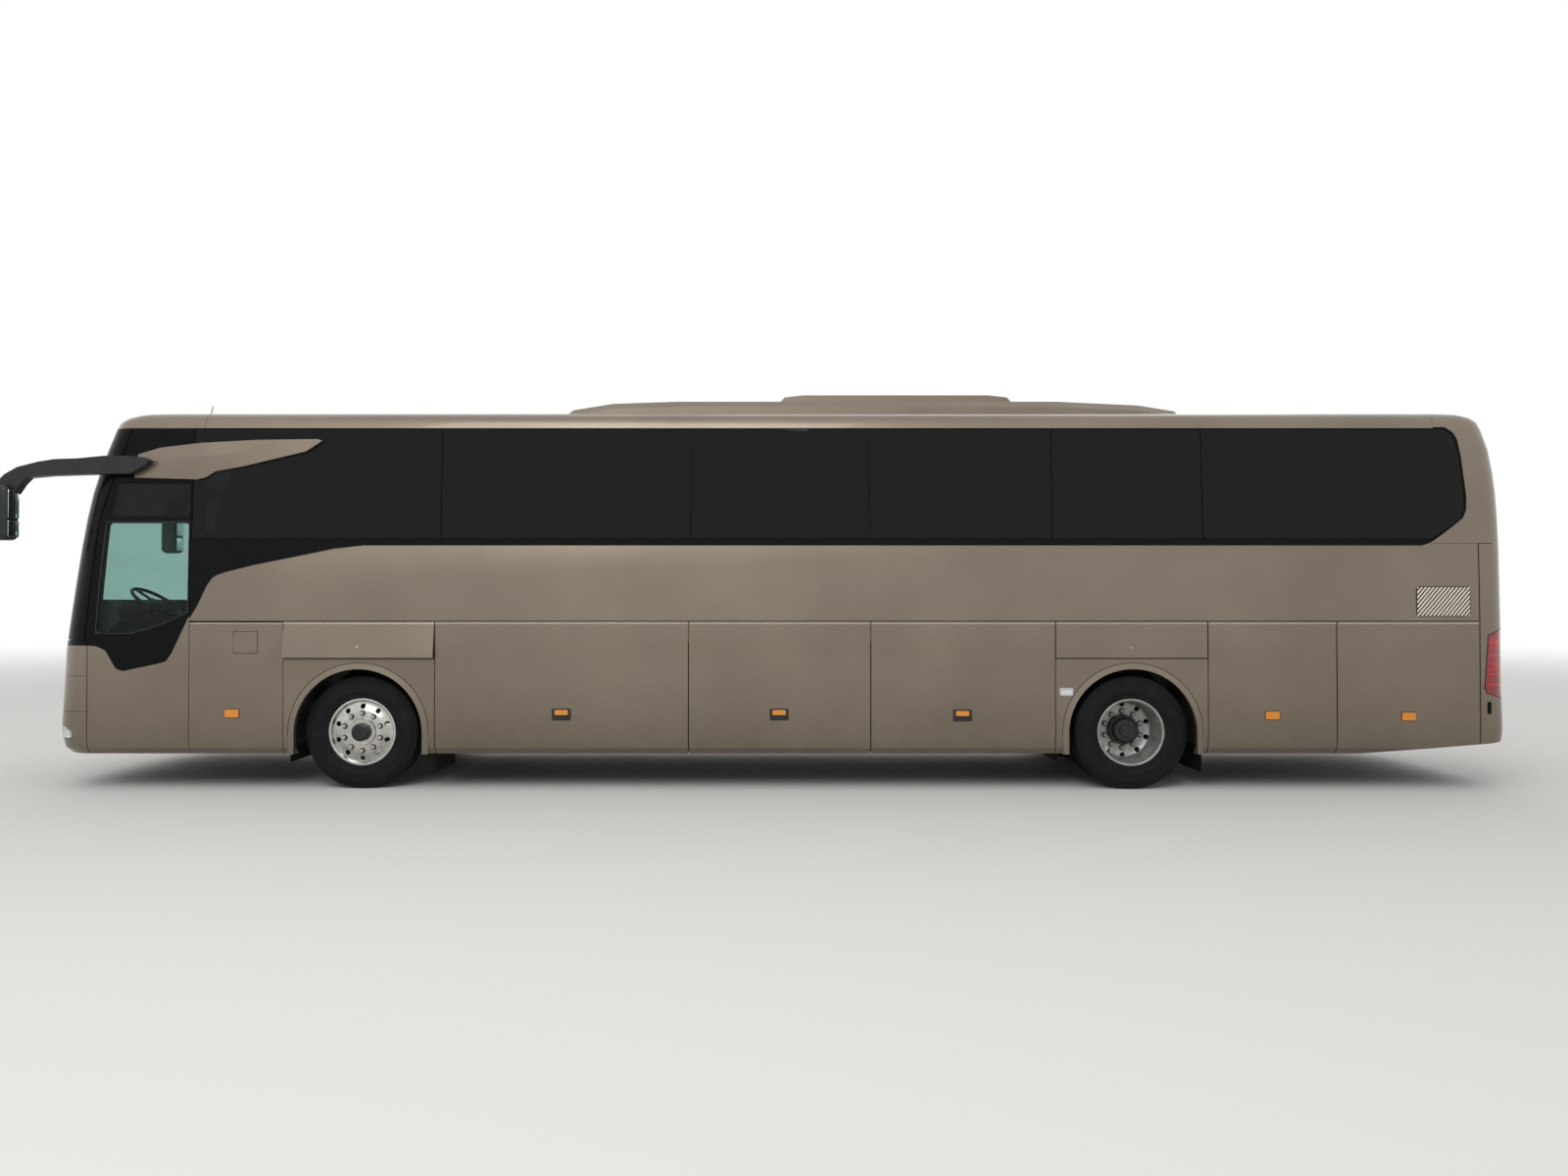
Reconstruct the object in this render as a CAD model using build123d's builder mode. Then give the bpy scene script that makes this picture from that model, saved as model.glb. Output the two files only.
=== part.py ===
from build123d import *
from math import cos, radians, sin, sqrt
import os

os.makedirs("parts", exist_ok=True)

# A full-size touring coach in millimetres. The front points to -X, the driver sits on the -Y side,
# and z = 0 is the ground.

# Body shell
HALF_WIDTH = 1275.0
NOSE_X = -6371.0
TAIL_X = 6774.0
SILL_Z = 318.0
BELT_Z = 1489.0
EAVES_Z = 3225.0
ROOF_TOP_Z = 3470.0
FRONT_CORNER_R = 290.0
REAR_CORNER_R = 210.0
FRONT_CROWN = 85.0
REAR_CROWN = 55.0
WALL = 50.0
TAIL_RISE = 120.0
PANEL_GAP = 10.0
SEAT_CLEARANCE = 0.3

# Section of the body at each height: height, tuck of each side, rake of the nose, rake of the tail
LEVELS = (
    (SILL_Z, 60.0, 62.0, 44.0),
    (370.0, 13.0, 27.0, 18.0),
    (470.0, 0.0, 6.0, 6.0),
    (561.0, 0.0, 0.0, 0.0),
    (913.0, 0.0, 21.0, 12.0),
    (1239.0, 0.0, 35.0, 13.0),
    (1489.0, 0.0, 68.0, 13.0),
    (1812.0, 4.0, 112.0, 15.0),
    (2174.0, 13.0, 162.0, 16.0),
    (2420.0, 24.0, 200.0, 20.0),
    (2641.0, 35.0, 243.0, 28.0),
    (2817.0, 45.0, 291.0, 43.0),
    (3040.0, 57.0, 364.0, 77.0),
    (EAVES_Z, 67.0, 433.0, 138.0),
)

# Section of the roof, in the same columns, from the cant rail's bend to the flat of the crown
ROOF_LEVELS = (
    (EAVES_Z + 62.0, 80.0, 460.0, 162.0),
    (EAVES_Z + 108.0, 112.0, 505.0, 203.0),
    (EAVES_Z + 138.0, 162.0, 573.0, 262.0),
    (EAVES_Z + 158.0, 245.0, 688.0, 352.0),
    (EAVES_Z + 192.0, 440.0, 958.0, 572.0),
    (EAVES_Z + 220.0, 650.0, 1288.0, 862.0),
    (ROOF_TOP_Z, 900.0, 1690.0, 1270.0),
)

# Seams between the panels, as stations along X
MASK_SEAM_X = -5936.0
CAB_SEAM_X = -5031.0
FRONT_ARCH_SEAMS = (-4196.0, -2852.0)
BAY_SEAMS = (-2852.0, -598.0, 1020.0, 2660.0)
REAR_ARCH_SEAMS = (2660.0, 4013.0)
ENGINE_BAY_SEAMS = (4013.0, 5157.0, 6427.0)
FRONT_CAP_SEAM_X = -4935.0
REAR_CAP_SEAM_X = 6062.0
REAR_SEAM_Z = 2190.0
WINDSCREEN_FOOT = (-5962.0, 1315.0)
WINDSCREEN_KNEE = (-5850.0, 2400.0)
WINDSCREEN_HEAD = (-5596.0, 3185.0)

# Glazing
GLASS = 16.0
GLASS_BED = GLASS + SEAT_CLEARANCE
GLASS_FOOT_Z = 2234.0
GLASS_HEAD_Z = 3214.0
PANE_GAP = 6.0
PANE_SEAMS = (-4979.0, -2804.0, -580.0, 1010.0, 2639.0, 3978.0)
PILLAR = 110.0
BAND_EDGE = 60.0
BAND_BORDER = 20.0
WINDSCREEN_FOOT_Z = 1330.0
REAR_WINDOW = (-960.0, 960.0, 2330.0, 3010.0)

# Flaps, doors and hatch
FLAP = 40.0
ARCH_FLAP_FOOT_Z = 1167.0
FRAME_INSET = FLAP + SEAT_CLEARANCE
FRAME_DEPTH = 60.0
POST_WIDTH = 50.0
HINGE_R = 4.7
BEAD_WEB = 4.0
HATCH_LIP = 30.0
RAIL_FOOT_Z = 1310.0
AJAR_DEG = 8.0
FILLER_LID = (-4639.0, -4422.0, 1210.0, 1410.0)
FILLER_LID_T = 12.0
FILLER_BOWL = 90.0
BOWL_T = 12.0
HATCH = (-880.0, 880.0, 930.0, 1760.0)
DOOR_FOOT_Z = 335.0
FRONT_DOOR_X = (-5850.0, -5045.0)
FRONT_DOOR_SLOPE_Z = 1400.0
FRONT_DOOR_HEAD = (-5745.0, 2400.0)
MID_DOOR_X = (1045.0, 1903.0)
MID_DOOR_HEAD_Z = 2166.0
DOOR_ARM = 425.0
DOOR_COLUMN_Y = 1172.0
DOOR_COLUMN_INSET = 200.0
DOOR_COLUMN_R = 22.0
DOOR_PIN_R = 12.0
DOOR_ARM_T = 36.0
DOOR_ARM_LEVELS = (620.0, 1900.0)

# Running gear
FRONT_AXLE_X = -3528.0
WHEELBASE = 6873.0
REAR_AXLE_X = FRONT_AXLE_X + WHEELBASE
TYRE_R = 505.0
TYRE_WIDTH = 295.0
RIM_R = 299.0
RIM_BARREL_R = 270.0
FRONT_TRACK_HALF = 1057.0
TWIN_SPACING = 334.0
REAR_OUTER_HALF = 1098.0
KINGPIN_Y = 957.0
KINGPIN_R = 20.0
BEAM_DEPTH = 100.0
BEAM_WIDTH = 120.0
BEAM_DROP = 45.0
SPINDLE_R = 45.0
REAR_SPINDLE_R = 60.0
RUNNING_CLEARANCE = 0.5
NUT_CIRCLE_R = 167.5
NUT_COUNT = 10
HAND_HOLE_COUNT = 10
ARCH_R = 568.0
ARCH_LIP = 53.0
ARCH_LIP_PROUD = 10.0
HOUSING_R = 622.0
HOUSING_T = 18.0
HOUSING_INNER_Y = 520.0
HOUSING_FOOT_Z = 380.0

# Structure and cabin
TRAY_Z = 330.0
TRAY_T = 30.0
RAIL_Y = (420.0, 500.0)
RAIL_Z = (640.0, 760.0)
SALOON_FLOOR_Z = 1350.0
SALOON_FLOOR_T = 20.0
SEAT_PITCH = 780.0
SEAT_ROWS = 13
FIRST_SEAT_X = -4450.0
SEAT_Y = (300.0, 1150.0)
CUSHION_Z = (1640.0, 1760.0)
CUSHION_LENGTH = 440.0
BACK_HEIGHT = 690.0
BACK_T = 110.0
BACK_LEAN_DEG = 14.0


# Reach of the cutters: through one side wall, across the whole body, and past its ends and sill
WALL_ZONE = (HALF_WIDTH - 575, HALF_WIDTH + 225)
ACROSS = (-HALF_WIDTH - 125, HALF_WIDTH + 125)
BEYOND_NOSE_X = NOSE_X - 50
BEYOND_TAIL_X = TAIL_X + 50
BELOW_SILL_Z = SILL_Z - 20
ABOVE_ROOF_Z = ROOF_TOP_Z + 50


def hull(inset, roofed):
    """The body's volume, moved in from the outer skin, up to the eaves or with its roof."""
    levels = list(LEVELS)
    if roofed:
        levels += [(height - inset, *section) for height, *section in ROOF_LEVELS]
    with BuildPart() as volume:
        for height, tuck, nose_rake, tail_rake in levels:
            half = HALF_WIDTH - tuck - inset
            nose = NOSE_X + nose_rake + inset
            tail = TAIL_X - tail_rake - inset
            front_r = FRONT_CORNER_R - inset
            rear_r = REAR_CORNER_R - inset
            corners = (
                (nose + FRONT_CROWN + front_r, -1, front_r),
                (tail - REAR_CROWN - rear_r, 1, rear_r),
            )
            with BuildSketch(Plane.XY.offset(height)):
                with BuildLine():
                    for side in (-1, 1):
                        Line((corners[0][0], side * half), (corners[1][0], side * half))
                        for centre_x, end, radius in corners:
                            ThreePointArc(
                                (centre_x, side * half),
                                (
                                    centre_x + end * radius * sqrt(0.5),
                                    side * (half - radius * (1 - sqrt(0.5))),
                                ),
                                (centre_x + end * radius, side * (half - radius)),
                            )
                    nose_x = nose + FRONT_CROWN
                    ThreePointArc((nose_x, front_r - half), (nose, 0), (nose_x, half - front_r))
                    tail_x = tail - REAR_CROWN
                    ThreePointArc((tail_x, rear_r - half), (tail, 0), (tail_x, half - rear_r))
                make_face()
        loft(ruled=True)
    return volume.part


def block(x, y, z):
    """A rectangular block between two stations on each axis."""
    with BuildPart() as cutter:
        with Locations(((x[0] + x[1]) / 2, (y[0] + y[1]) / 2, (z[0] + z[1]) / 2)):
            Box(x[1] - x[0], y[1] - y[0], z[1] - z[0])
    return cutter.part


def side_prism(points, side, corner_r=0.0, edge=0.0, inner_y=WALL_ZONE[0], outer_y=WALL_ZONE[1]):
    """A prism through one side wall, side -1 for left and 1 for right, from an outline in X and Z.

    The outline can be drawn in by an edge all round, and its corners rounded.
    """
    with BuildPart() as cutter:
        with BuildSketch(Plane.XZ.offset(-side * inner_y)) as outline:
            Polygon(*points, align=None)
            if edge:
                offset(amount=-edge, kind=Kind.INTERSECTION)
            if corner_r:
                fillet(outline.vertices(), radius=corner_r)
        extrude(amount=-side * (outer_y - inner_y))
    return cutter.part


def side_block(x, z, side, inner_y=WALL_ZONE[0], outer_y=WALL_ZONE[1]):
    """A rectangular prism through one side wall."""
    corners = ((x[0], z[0]), (x[1], z[0]), (x[1], z[1]), (x[0], z[1]))
    return side_prism(corners, side, inner_y=inner_y, outer_y=outer_y)


def screen_edge_x(height):
    """Station of the windscreen's side edge at a height, on the run below or above its knee."""
    low, high = WINDSCREEN_FOOT, WINDSCREEN_KNEE
    if height > WINDSCREEN_KNEE[1]:
        low, high = WINDSCREEN_KNEE, WINDSCREEN_HEAD
    return low[0] + (height - low[1]) / (high[1] - low[1]) * (high[0] - low[0])


def shrink(span, gap):
    """A span made shorter by a gap at each end."""
    return (span[0] + gap, span[1] - gap)


def write(piece, name):
    """Label one finished piece and write it as a STEP file."""
    piece.label = name
    export_step(piece, f"parts/{name}.step")


# Shells that the panels are cut from: the whole wall, a flap's skin, the glass and the hidden frame
outer_roofed = hull(0, True)
outer = hull(0, False)
wall = outer_roofed - hull(WALL, True)
flap_skin = outer - hull(FLAP, False)
glass_skin = outer - hull(GLASS, False)
glass_bed = outer - hull(GLASS_BED, False)
frame_body = hull(FRAME_INSET, False)
frame_skin = frame_body - hull(FRAME_INSET + FRAME_DEPTH, False)
SEAM = PANEL_GAP / 2

SIDES = ((-1, "left"), (1, "right"))
BELT_SEAM = (BELT_Z - SEAM, BELT_Z + SEAM)
RIGHT_REAR_PANEL_X = (MID_DOOR_X[1] + PANEL_GAP, REAR_ARCH_SEAMS[0])


def arch_prism(axle_x, radius, foot_z, side, inner_y, outer_y):
    """A half circle on straight legs over an axle, as a prism through one side."""
    with BuildPart() as cutter:
        with BuildSketch(Plane.XZ.offset(-side * inner_y)):
            with BuildLine():
                CenterArc((axle_x, TYRE_R), radius, 0, 180)
                Polyline(
                    (axle_x - radius, TYRE_R),
                    (axle_x - radius, foot_z),
                    (axle_x + radius, foot_z),
                    (axle_x + radius, TYRE_R),
                )
            make_face()
        extrude(amount=-side * (outer_y - inner_y))
    return cutter.part


# The tail's underside rises behind the engine bay's first flap
with BuildPart() as tail_rise:
    with BuildSketch(Plane.XZ.offset(-HALF_WIDTH - 50)):
        Polygon(
            (ENGINE_BAY_SEAMS[1], BELOW_SILL_Z),
            (BEYOND_TAIL_X, BELOW_SILL_Z),
            (BEYOND_TAIL_X, SILL_Z + TAIL_RISE),
            align=None,
        )
    extrude(amount=2 * HALF_WIDTH + 100)


def cab_outline(gap):
    """Side outline of the cab between the windscreen's edge, the mask's seam and the saloon."""
    return (
        (MASK_SEAM_X + gap, BELOW_SILL_Z),
        (MASK_SEAM_X + gap, WINDSCREEN_FOOT_Z),
        (screen_edge_x(WINDSCREEN_FOOT_Z) + gap, WINDSCREEN_FOOT_Z + 1),
        (WINDSCREEN_KNEE[0] + gap, WINDSCREEN_KNEE[1]),
        (screen_edge_x(EAVES_Z) + gap, EAVES_Z),
        (CAB_SEAM_X - gap, EAVES_Z),
        (CAB_SEAM_X - gap, BELOW_SILL_Z),
    )


# Windows of the cab's left side, and the quarter window over the door, as outlines in X and Z
DRIVER_WINDOW = (
    (-5866, 1388),
    (-5540, 1386),
    (-5270, 1466),
    (-5040, 1578),
    (-5040, 2388),
    (-5785, 2388),
)
QUARTER_WINDOW = ((-5752, 2424), (-5040, 2424), (-5040, 2730), (-5690, 2730))
FRAME_LAND = 16.0


# Front door's outline: straight at the rear, leaning back with the windscreen above its waist
def front_door_outline(gap):
    """Outline of the front door, smaller than its opening by a gap."""
    return (
        (FRONT_DOOR_X[0] + gap, DOOR_FOOT_Z),
        (FRONT_DOOR_X[0] + gap, FRONT_DOOR_SLOPE_Z),
        (FRONT_DOOR_HEAD[0] + gap, FRONT_DOOR_HEAD[1] - gap),
        (FRONT_DOOR_X[1] - gap, FRONT_DOOR_HEAD[1] - gap),
        (FRONT_DOOR_X[1] - gap, DOOR_FOOT_Z),
    )


def opened_below(points):
    """A door's outline with its foot carried down through the sill."""
    return [(x, BELOW_SILL_Z if z == DOOR_FOOT_Z else z) for x, z in points]


FRONT_OPENING = side_prism(opened_below(front_door_outline(0)), 1)
MID_OPENING = side_block(MID_DOOR_X, (BELOW_SILL_Z, MID_DOOR_HEAD_Z), 1)

# Cab sides: the left one has the driver's window and a quarter window, the right one the front door
with BuildPart() as cab_sides:
    for side, name in SIDES:
        add(wall & side_prism(cab_outline(SEAM / 2), side))
        windows = (DRIVER_WINDOW, QUARTER_WINDOW) if side < 0 else (QUARTER_WINDOW,)
        for window in windows:
            add(side_prism(window, side, 30.0, FRAME_LAND), mode=Mode.SUBTRACT)
            add(glass_bed & side_prism(window, side, 30.0), mode=Mode.SUBTRACT)
    add(FRONT_OPENING, mode=Mode.SUBTRACT)
write(cab_sides.part, "cab_sides")

# The window band's outline ends behind the last pane in a slope down to the belt
BAND_REAR = (
    (6150, GLASS_HEAD_Z),
    (6235, 3160),
    (6285, 2960),
    (6315, 2600),
    (6308, 2480),
    (6275, 2410),
    (6020, GLASS_FOOT_Z),
)


def band_outline(start_x):
    """Outline of the window band from a station to its rear end."""
    return ((start_x, GLASS_FOOT_Z), (start_x, GLASS_HEAD_Z), *BAND_REAR)


def pane_spans():
    """Each saloon pane's span along X, the last one open to the band's end."""
    ends = list(PANE_SEAMS[1:]) + [max(x for x, z in BAND_REAR) + PANE_GAP]
    return list(zip(PANE_SEAMS, ends))


def rear_corner(gap):
    """The rear cap's space under the eaves, behind the band and its border."""
    zone = block((BAND_REAR[-1][0], BEYOND_TAIL_X), ACROSS, (REAR_SEAM_Z + gap, EAVES_Z))
    reach = {"inner_y": ACROSS[0], "outer_y": ACROSS[1]}
    return zone - side_prism(band_outline(CAB_SEAM_X), 1, edge=-BAND_BORDER - gap, **reach)


# Saloon sides: belt panel and window frame, with a rail behind the flaps' hinges
for side, name in SIDES:
    with BuildPart() as saloon_side:
        add(wall)
        reach_x = (CAB_SEAM_X, ENGINE_BAY_SEAMS[2] - SEAM)
        add(side_block(reach_x, (BELT_SEAM[1], EAVES_Z), side), mode=Mode.INTERSECT)
        add(rear_corner(0), mode=Mode.SUBTRACT)
        bed_outline = band_outline(CAB_SEAM_X + 2 * PANE_GAP)
        add(glass_bed & side_prism(bed_outline, side, edge=-PANE_GAP), mode=Mode.SUBTRACT)
        band_light = side_prism(bed_outline, side, edge=BAND_EDGE)
        for start, end in pane_spans():
            light_x = shrink((start, end), PILLAR / 2)
            add(band_light & side_block(light_x, (BELT_Z, EAVES_Z), side), mode=Mode.SUBTRACT)
        rail_x = shrink(reach_x, SEAM)
        add(frame_skin & side_block(rail_x, (RAIL_FOOT_Z, BELT_SEAM[1] + WALL), side))
        if side > 0:
            add(MID_OPENING, mode=Mode.SUBTRACT)
    write(saloon_side.part, f"saloon_side_{name}")

# Fixed skirt panels: start, end, axle of the wheel arch in it or None, head
SKIRTS = {
    -1: (
        (CAB_SEAM_X, FRONT_ARCH_SEAMS[0], None, BELT_Z),
        (*FRONT_ARCH_SEAMS, FRONT_AXLE_X, ARCH_FLAP_FOOT_Z),
        (*REAR_ARCH_SEAMS, REAR_AXLE_X, ARCH_FLAP_FOOT_Z),
    ),
    1: (
        (CAB_SEAM_X, FRONT_ARCH_SEAMS[0], None, BELT_Z),
        (*FRONT_ARCH_SEAMS, FRONT_AXLE_X, ARCH_FLAP_FOOT_Z),
        (BAY_SEAMS[2], MID_DOOR_X[0], None, BELT_Z),
        (*RIGHT_REAR_PANEL_X, None, BELT_Z),
        (*REAR_ARCH_SEAMS, REAR_AXLE_X, ARCH_FLAP_FOOT_Z),
    ),
}
with BuildPart() as skirts:
    for side, name in SIDES:
        for start, end, axle_x, head in SKIRTS[side]:
            panel = wall & side_block(shrink((start, end), SEAM / 2), (BELOW_SILL_Z, head - SEAM), side)
            if axle_x:
                lip_y = (HALF_WIDTH - WALL / 2, HALF_WIDTH + ARCH_LIP_PROUD)
                lip = arch_prism(axle_x, ARCH_R + ARCH_LIP, SILL_Z, side, *lip_y)
                panel = panel + lip - arch_prism(axle_x, ARCH_R, 0, side, *WALL_ZONE)
            if side < 0 and not axle_x:
                bowl_x = shrink(FILLER_LID[:2], -BOWL_T)
                bowl_z = shrink(FILLER_LID[2:], -BOWL_T)
                floor_y = HALF_WIDTH - FILLER_BOWL
                bowl = side_block(bowl_x, bowl_z, side, floor_y, HALF_WIDTH - WALL / 2)
                well = side_block(FILLER_LID[:2], FILLER_LID[2:], side, floor_y + BOWL_T)
                panel = panel + bowl - well
            add(panel - frame_skin)
write(skirts.part, "skirts")

# Flaps: name, start, end, foot, the sides that have one
FLAPS = (
    ("front_arch_flap", *FRONT_ARCH_SEAMS, ARCH_FLAP_FOOT_Z, SIDES),
    ("bay_flap_1", *BAY_SEAMS[0:2], SILL_Z, SIDES),
    ("bay_flap_2", *BAY_SEAMS[1:3], SILL_Z, SIDES),
    ("bay_flap_3", *BAY_SEAMS[2:4], SILL_Z, SIDES[:1]),
    ("rear_arch_flap", *REAR_ARCH_SEAMS, ARCH_FLAP_FOOT_Z, SIDES),
    ("engine_flap_1", *ENGINE_BAY_SEAMS[0:2], SILL_Z, SIDES),
    ("engine_flap_2", *ENGINE_BAY_SEAMS[1:3], SILL_Z, SIDES),
)


def hinge_bead(x_span, side):
    """The round bead along a flap's head that turns in the seam under the belt panel."""
    with BuildPart() as bead:
        with BuildSketch(Plane.YZ.offset(x_span[0])):
            with Locations((side * HALF_WIDTH, BELT_Z)):
                Circle(HINGE_R)
            with Locations((side * (HALF_WIDTH - BEAD_WEB / 2), BELT_Z - SEAM)):
                Rectangle(BEAD_WEB, BEAD_WEB)
        extrude(amount=x_span[1] - x_span[0])
    return bead.part


for flap_name, start, end, foot, sides in FLAPS:
    for side, name in sides:
        with BuildPart() as flap:
            span = shrink((start, end), SEAM)
            foot_z = BELOW_SILL_Z if foot == SILL_Z else foot + SEAM
            add(flap_skin & side_block(span, (foot_z, BELT_SEAM[0]), side))
            add(tail_rise.part, mode=Mode.SUBTRACT)
            add(hinge_bead(span, side))
        piece = flap.part
        if flap_name == "front_arch_flap" and side < 0:
            hinge = Axis((0, -HALF_WIDTH, BELT_Z), (1, 0, 0))
            piece = piece.rotate(hinge, -AJAR_DEG)
        write(piece, f"{flap_name}_{name}")

LID_HINGE_LENGTH = 140.0
with BuildPart() as filler_lid:
    add(outer - hull(FILLER_LID_T, False))
    lid_x = shrink(FILLER_LID[:2], SEAM)
    add(side_block(lid_x, shrink(FILLER_LID[2:], SEAM), -1), mode=Mode.INTERSECT)
    with Locations((FILLER_LID[0] + SEAM / 2, -HALF_WIDTH, sum(FILLER_LID[2:]) / 2)):
        Cylinder(SEAM / 2 - SEAT_CLEARANCE, LID_HINGE_LENGTH)
    with Locations((lid_x[0], BEAD_WEB - HALF_WIDTH, sum(FILLER_LID[2:]) / 2)):
        Box(BEAD_WEB, BEAD_WEB + 2, LID_HINGE_LENGTH)
write(filler_lid.part, "filler_lid")

LAMP_FIT = 0.3


def lamp_prism(outline, inner_y, side, gap):
    """The space of a lamp that wraps a corner of the body, from its side outline and inner edge."""
    return side_prism(outline, side, edge=gap, inner_y=inner_y + gap, outer_y=ACROSS[1])


# Front mask under the windscreen, with its shut lines and a pocket for each headlamp
HEADLAMP_Y = 700.0
HEADLAMP = (
    (-6076, 470),
    (-6076, 515),
    (-6150, 556),
    (-6290, 592),
    (BEYOND_NOSE_X, 612),
    (BEYOND_NOSE_X, 430),
    (-6220, 448),
)
GROOVE = 8.0
MASK_LINES_Z = (697.0, 1010.0)
groove_skin = outer - hull(GROOVE, False)
mask_x = (BEYOND_NOSE_X, MASK_SEAM_X - SEAM / 2)
with BuildPart() as front_mask:
    add(wall & block(mask_x, ACROSS, (BELOW_SILL_Z, WINDSCREEN_FOOT_Z - SEAM)))
    for side, name in SIDES:
        add(lamp_prism(HEADLAMP, HEADLAMP_Y, side, 0), mode=Mode.SUBTRACT)
    for line_z in MASK_LINES_Z:
        line = block(mask_x, ACROSS, (line_z - SEAM / 2, line_z + SEAM / 2))
        add(groove_skin & line, mode=Mode.SUBTRACT)
write(front_mask.part, "front_mask")

with BuildPart() as headlamps:
    for side, name in SIDES:
        add(wall & lamp_prism(HEADLAMP, HEADLAMP_Y, side, LAMP_FIT))
write(headlamps.part, "headlamps")


def screen_prism(foot_z, head_z, gap):
    """Everything ahead of the windscreen's side edge between two heights."""
    with BuildPart() as region:
        with BuildSketch(Plane.XZ.offset(ACROSS[0])):
            Polygon(
                (BEYOND_NOSE_X, foot_z),
                (screen_edge_x(foot_z) - gap, foot_z),
                (WINDSCREEN_KNEE[0] - gap, WINDSCREEN_KNEE[1]),
                (screen_edge_x(head_z) - gap, head_z),
                (BEYOND_NOSE_X, head_z),
                align=None,
            )
        extrude(amount=ACROSS[1] - ACROSS[0])
    return region.part


# Windscreen frame: the black pillars and rails that the glass is bonded to
SCREEN_PILLAR_Y = 1060.0
SCREEN_RAIL = 60.0
SCREEN_HEAD_Z = EAVES_Z - SEAM
with BuildPart() as screen_frame:
    add(hull(GLASS_BED, False) - hull(WALL, False))
    add(screen_prism(WINDSCREEN_FOOT_Z - SEAM, EAVES_Z, SEAM / 2), mode=Mode.INTERSECT)
    add(
        block(
            (BEYOND_NOSE_X, CAB_SEAM_X),
            (-SCREEN_PILLAR_Y, SCREEN_PILLAR_Y),
            (WINDSCREEN_FOOT_Z + SCREEN_RAIL, SCREEN_HEAD_Z - SCREEN_RAIL),
        ),
        mode=Mode.SUBTRACT,
    )
write(screen_frame.part, "screen_frame")

with BuildPart() as cab_glazing:
    add(glass_skin & screen_prism(WINDSCREEN_FOOT_Z + SEAM / 2, SCREEN_HEAD_Z, SEAM / 2 + 2))
    add(glass_skin & side_prism(DRIVER_WINDOW, -1, 30.0, 1.0))
    for side, name in SIDES:
        add(glass_skin & side_prism(QUARTER_WINDOW, side, 30.0, 1.0))
write(cab_glazing.part, "cab_glazing")

with BuildPart() as saloon_glazing:
    for side, name in SIDES:
        for number, (start, end) in enumerate(pane_spans()):
            head_start = CAB_SEAM_X + 2 * PANE_GAP if number == 0 else start + PANE_GAP / 2
            span = (head_start, end - PANE_GAP / 2)
            add(
                glass_skin
                & side_block(span, (GLASS_FOOT_Z, GLASS_HEAD_Z), side)
                & side_prism(band_outline(CAB_SEAM_X), side)
            )
    add(
        glass_skin
        & block((REAR_CAP_SEAM_X, BEYOND_TAIL_X), REAR_WINDOW[:2], REAR_WINDOW[2:])
    )
write(saloon_glazing.part, "saloon_glazing")

# Roof and its two end caps
eaves = (EAVES_Z, ABOVE_ROOF_Z)
with BuildPart() as roof:
    add(wall & block((FRONT_CAP_SEAM_X, REAR_CAP_SEAM_X), ACROSS, eaves))
write(roof.part, "roof")

with BuildPart() as front_cap:
    add(wall & block((BEYOND_NOSE_X, FRONT_CAP_SEAM_X - SEAM / 2), ACROSS, eaves))
write(front_cap.part, "front_cap")

with BuildPart() as rear_cap:
    add(wall & block((REAR_CAP_SEAM_X + SEAM / 2, BEYOND_TAIL_X), ACROSS, eaves))
    add(wall & rear_corner(SEAM / 2))
    window_x = (REAR_CAP_SEAM_X, BEYOND_TAIL_X)
    window_y, window_z = REAR_WINDOW[:2], REAR_WINDOW[2:]
    bed = block(window_x, shrink(window_y, -PANE_GAP / 2), shrink(window_z, -PANE_GAP / 2))
    add(glass_bed & bed, mode=Mode.SUBTRACT)
    light = block(window_x, shrink(window_y, BAND_EDGE), shrink(window_z, BAND_EDGE))
    add(light, mode=Mode.SUBTRACT)
write(rear_cap.part, "rear_cap")

# Tail under the rear seam, with its bumper seam, the engine hatch cut out and a pocket for each lamp
TAIL_LAMP_Y = 1040.0
TAIL_LAMP = (
    (6485, 853),
    (6462, 911),
    (6497, 1377),
    (6672, 1447),
    (BEYOND_TAIL_X, 1447),
    (BEYOND_TAIL_X, 801),
    (6672, 801),
)
BUMPER_SEAM_Z = 905.0
HATCH_ZONE_X = (TAIL_X - 300, BEYOND_TAIL_X)
tail_x = (ENGINE_BAY_SEAMS[2] + SEAM, BEYOND_TAIL_X)
with BuildPart() as rear_mask:
    add(wall & block(tail_x, ACROSS, (BELOW_SILL_Z, REAR_SEAM_Z - SEAM / 2)))
    add(
        (outer - frame_body) & block(HATCH_ZONE_X, HATCH[:2], HATCH[2:]),
        mode=Mode.SUBTRACT,
    )
    add(
        block(HATCH_ZONE_X, shrink(HATCH[:2], HATCH_LIP), shrink(HATCH[2:], HATCH_LIP)),
        mode=Mode.SUBTRACT,
    )
    bumper_seam = block(tail_x, ACROSS, (BUMPER_SEAM_Z - SEAM / 2, BUMPER_SEAM_Z + SEAM / 2))
    add(groove_skin & bumper_seam, mode=Mode.SUBTRACT)
    for side, name in SIDES:
        add(lamp_prism(TAIL_LAMP, TAIL_LAMP_Y, side, 0), mode=Mode.SUBTRACT)
    add(tail_rise.part, mode=Mode.SUBTRACT)
write(rear_mask.part, "rear_mask")

with BuildPart() as tail_lamps:
    for side, name in SIDES:
        add(wall & lamp_prism(TAIL_LAMP, TAIL_LAMP_Y, side, LAMP_FIT))
write(tail_lamps.part, "tail_lamps")

with BuildPart() as engine_hatch:
    hatch_y = shrink(HATCH[:2], PANEL_GAP)
    add(flap_skin & block(HATCH_ZONE_X, hatch_y, shrink(HATCH[2:], PANEL_GAP)))
write(engine_hatch.part, "engine_hatch")

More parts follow.
